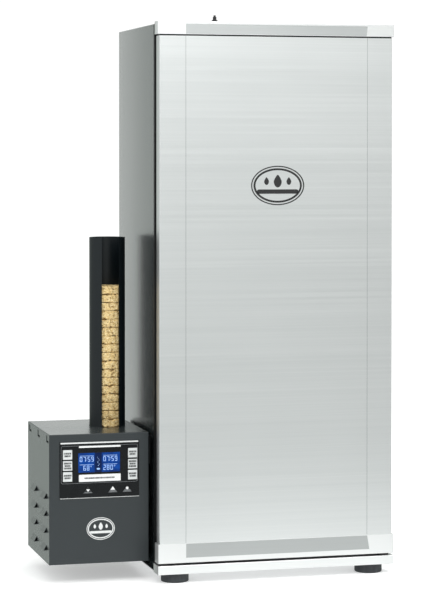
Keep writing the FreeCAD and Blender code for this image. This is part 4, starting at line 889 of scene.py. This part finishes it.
def seams():
    """Painted shade: grey lines in the door sheet's two folded joints, and a black strip that stands for
    the shadow in the gap under its top cap.
    """
    low, high = edges("door_skin")
    joint_shades = bmesh.new()
    # Painted shade along the two joint grooves.
    for x in SEAM_PLACES:
        line = rectangle(x - SEAM_HALF, low.z + 0.5 * MM, x + SEAM_HALF, high.z - 0.5 * MM)
        slab(joint_shades, line, low.y + SEAM_DEPTH, 0.1 * MM)
    piece("door_joint_shades", joint_shades, "door", "ink_grey")
    # Painted shade: a black strip set into the gap under the top cap, where there is only shadow.
    gap_shade = bmesh.new()
    strip = rectangle(low.x + 1.0 * MM, high.z + 0.05 * MM, high.x - 1.0 * MM, high.z + 2.5 * MM)
    slab(gap_shade, strip, low.y + GAP_SHADE_DEPTH, 3.0 * MM)
    piece("door_gap_shade", gap_shade, "door", "seal")


# ---------------------------------------------------------------- wood pucks

def add_puck(mesh, centre, low, radius, height, seed):
    """One pressed puck: a disc with crumbled edges and a rough side, different for each seed."""
    around, rows = 96, 8
    rim = 1.4 * MM
    edge = radius * 0.9
    profile = [(radius * 0.30, 0.0), (radius * 0.66, 0.0), (radius - rim, 0.0)]
    profile += [(radius, rim + (height - 2 * rim) * row / rows) for row in range(rows + 1)]
    profile += [(radius - rim, height), (radius * 0.66, height), (radius * 0.30, height)]
    shift = Vector((seed * 1.7, seed * 0.9, seed * 2.3))
    rings = []
    for out, up in profile:
        ring = []
        for index in range(around):
            turn = 2 * math.pi * index / around
            spot = Vector((out * math.cos(turn), out * math.sin(turn), up))
            coarse = noise.noise(spot * 420.0 + shift)
            fine = noise.noise(spot * 1150.0 + shift)
            crumble = (0.62 * coarse + 0.38 * fine - 0.80) * MM
            chip = 5.0 * MM * max(0.0, noise.noise(spot * 190.0 + shift * 1.3) - 0.04)
            if out > edge and (up <= rim or up >= height - rim):
                spot.z += (chip if up < height / 2 else -chip)
                crumble -= 0.6 * chip
            if out > edge:
                spot.x += crumble * math.cos(turn)
                spot.y += crumble * math.sin(turn)
            ring.append(mesh.verts.new(Vector((centre[0], centre[1], low)) + spot))
        rings.append(ring)
    for first, second in zip(rings, rings[1:]):
        for index in range(around):
            following = (index + 1) % around
            mesh.faces.new((first[index], first[following], second[following], second[index]))
    for ring, up in ((rings[0], 0.0), (rings[-1], height)):
        hub = mesh.verts.new((centre[0], centre[1], low + up))
        for index in range(around):
            mesh.faces.new((ring[index], ring[(index + 1) % around], hub))


PUCK_RADIUS = 28.5 * MM
PUCK_COUNT = 20


def pucks():
    """The stack in the tube, and the puck in front of the pusher."""
    random.seed(11)
    low, high = edges("puck_stack")
    feed_low, feed_high = edges("feed_puck")
    centre = ((feed_low.x + feed_high.x) / 2, (feed_low.y + feed_high.y) / 2)
    height = feed_high.z - feed_low.z
    pitch = (high.z - low.z - height) / (PUCK_COUNT - 1)
    stack = bmesh.new()
    for number in range(PUCK_COUNT):
        radius = PUCK_RADIUS - random.uniform(0.0, 0.35) * MM
        add_puck(stack, centre, low.z + number * pitch, radius, height, number + 1.0)
    stacked = piece("wood_pucks", stack, "cabinet", "wood")
    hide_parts("puck_stack")
    single = bmesh.new()
    add_puck(single, centre, feed_low.z, PUCK_RADIUS, height, 31.0)
    lowest = piece("lowest_puck", single, "pusher_slide_body", "wood")
    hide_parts("feed_puck")


# ---------------------------------------------------------------- screws

def add_screw(mesh, x, y, z, radius, height):
    """A domed head that faces +Y, with a cross recess."""
    around, rows = 28, 5
    rings = []
    for row in range(rows + 1):
        share = row / rows
        out = radius * math.cos(share * math.pi / 2 * 0.92)
        up = height * math.sin(share * math.pi / 2)
        rings.append([
            mesh.verts.new((x + out * math.cos(2 * math.pi * index / around), y + up,
                            z + out * math.sin(2 * math.pi * index / around)))
            for index in range(around)
        ])
    for first, second in zip(rings, rings[1:]):
        for index in range(around):
            following = (index + 1) % around
            mesh.faces.new((first[index], first[following], second[following], second[index]))
    mesh.faces.new(rings[-1])
    mesh.faces.new(reversed(rings[0]))


def add_recess_shade(mesh, x, y, z, size, raise_by):
    """The cross recess as painted shade: a thin black plate over the head."""
    arm, half = size, size * 0.2
    outline = [
        (-half, -arm), (half, -arm), (half, -half), (arm, -half), (arm, half), (half, half),
        (half, arm), (-half, arm), (-half, half), (-arm, half), (-arm, -half), (-half, -half),
    ]
    slab(mesh, [(x + across, z + up) for across, up in outline], y, raise_by)


SCREW_LEVELS = (0.040, 0.250, 0.495, 0.740, 0.950)


def screws():
    """Screw heads round the cabinet's back and the generator's back."""
    back_low, back_high = edges("back_panel")
    case_low, case_high = edges("generator_base")
    head_low, head_high = edges("cover_screws")
    radius, height = 3.5 * MM, 1.7 * MM
    places = []
    for x in (head_high.x - radius, back_low.x + 7.8 * MM):
        for z in SCREW_LEVELS:
            places.append((x, back_high.y, z))
    for x in (head_low.x + radius, case_high.x - 7.5 * MM):
        for z in (case_low.z + 14 * MM, case_high.z - 12.5 * MM):
            places.append((x, case_high.y, z))
    # Painted shade: each head gets a black cross where its recess would lie in shade.
    heads, recess_shades = bmesh.new(), bmesh.new()
    for place in places:
        add_screw(heads, *place, radius, height)
        add_recess_shade(recess_shades, place[0], place[1] + height - 0.06 * MM, place[2], radius * 0.5, 0.1 * MM)
    made = piece("screw_heads", heads, "cabinet", "chrome")
    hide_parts("cover_screws")
    piece("screw_recess_shades", recess_shades, "cabinet", "ink_black")


# ---------------------------------------------------------------- the scene

random.seed(5)
camera()
studio()
finish_nodes()
panel_marks()
display_marks()
square_key_marks()
pointed_key_marks()
badges()
seams()
pucks()
screws()
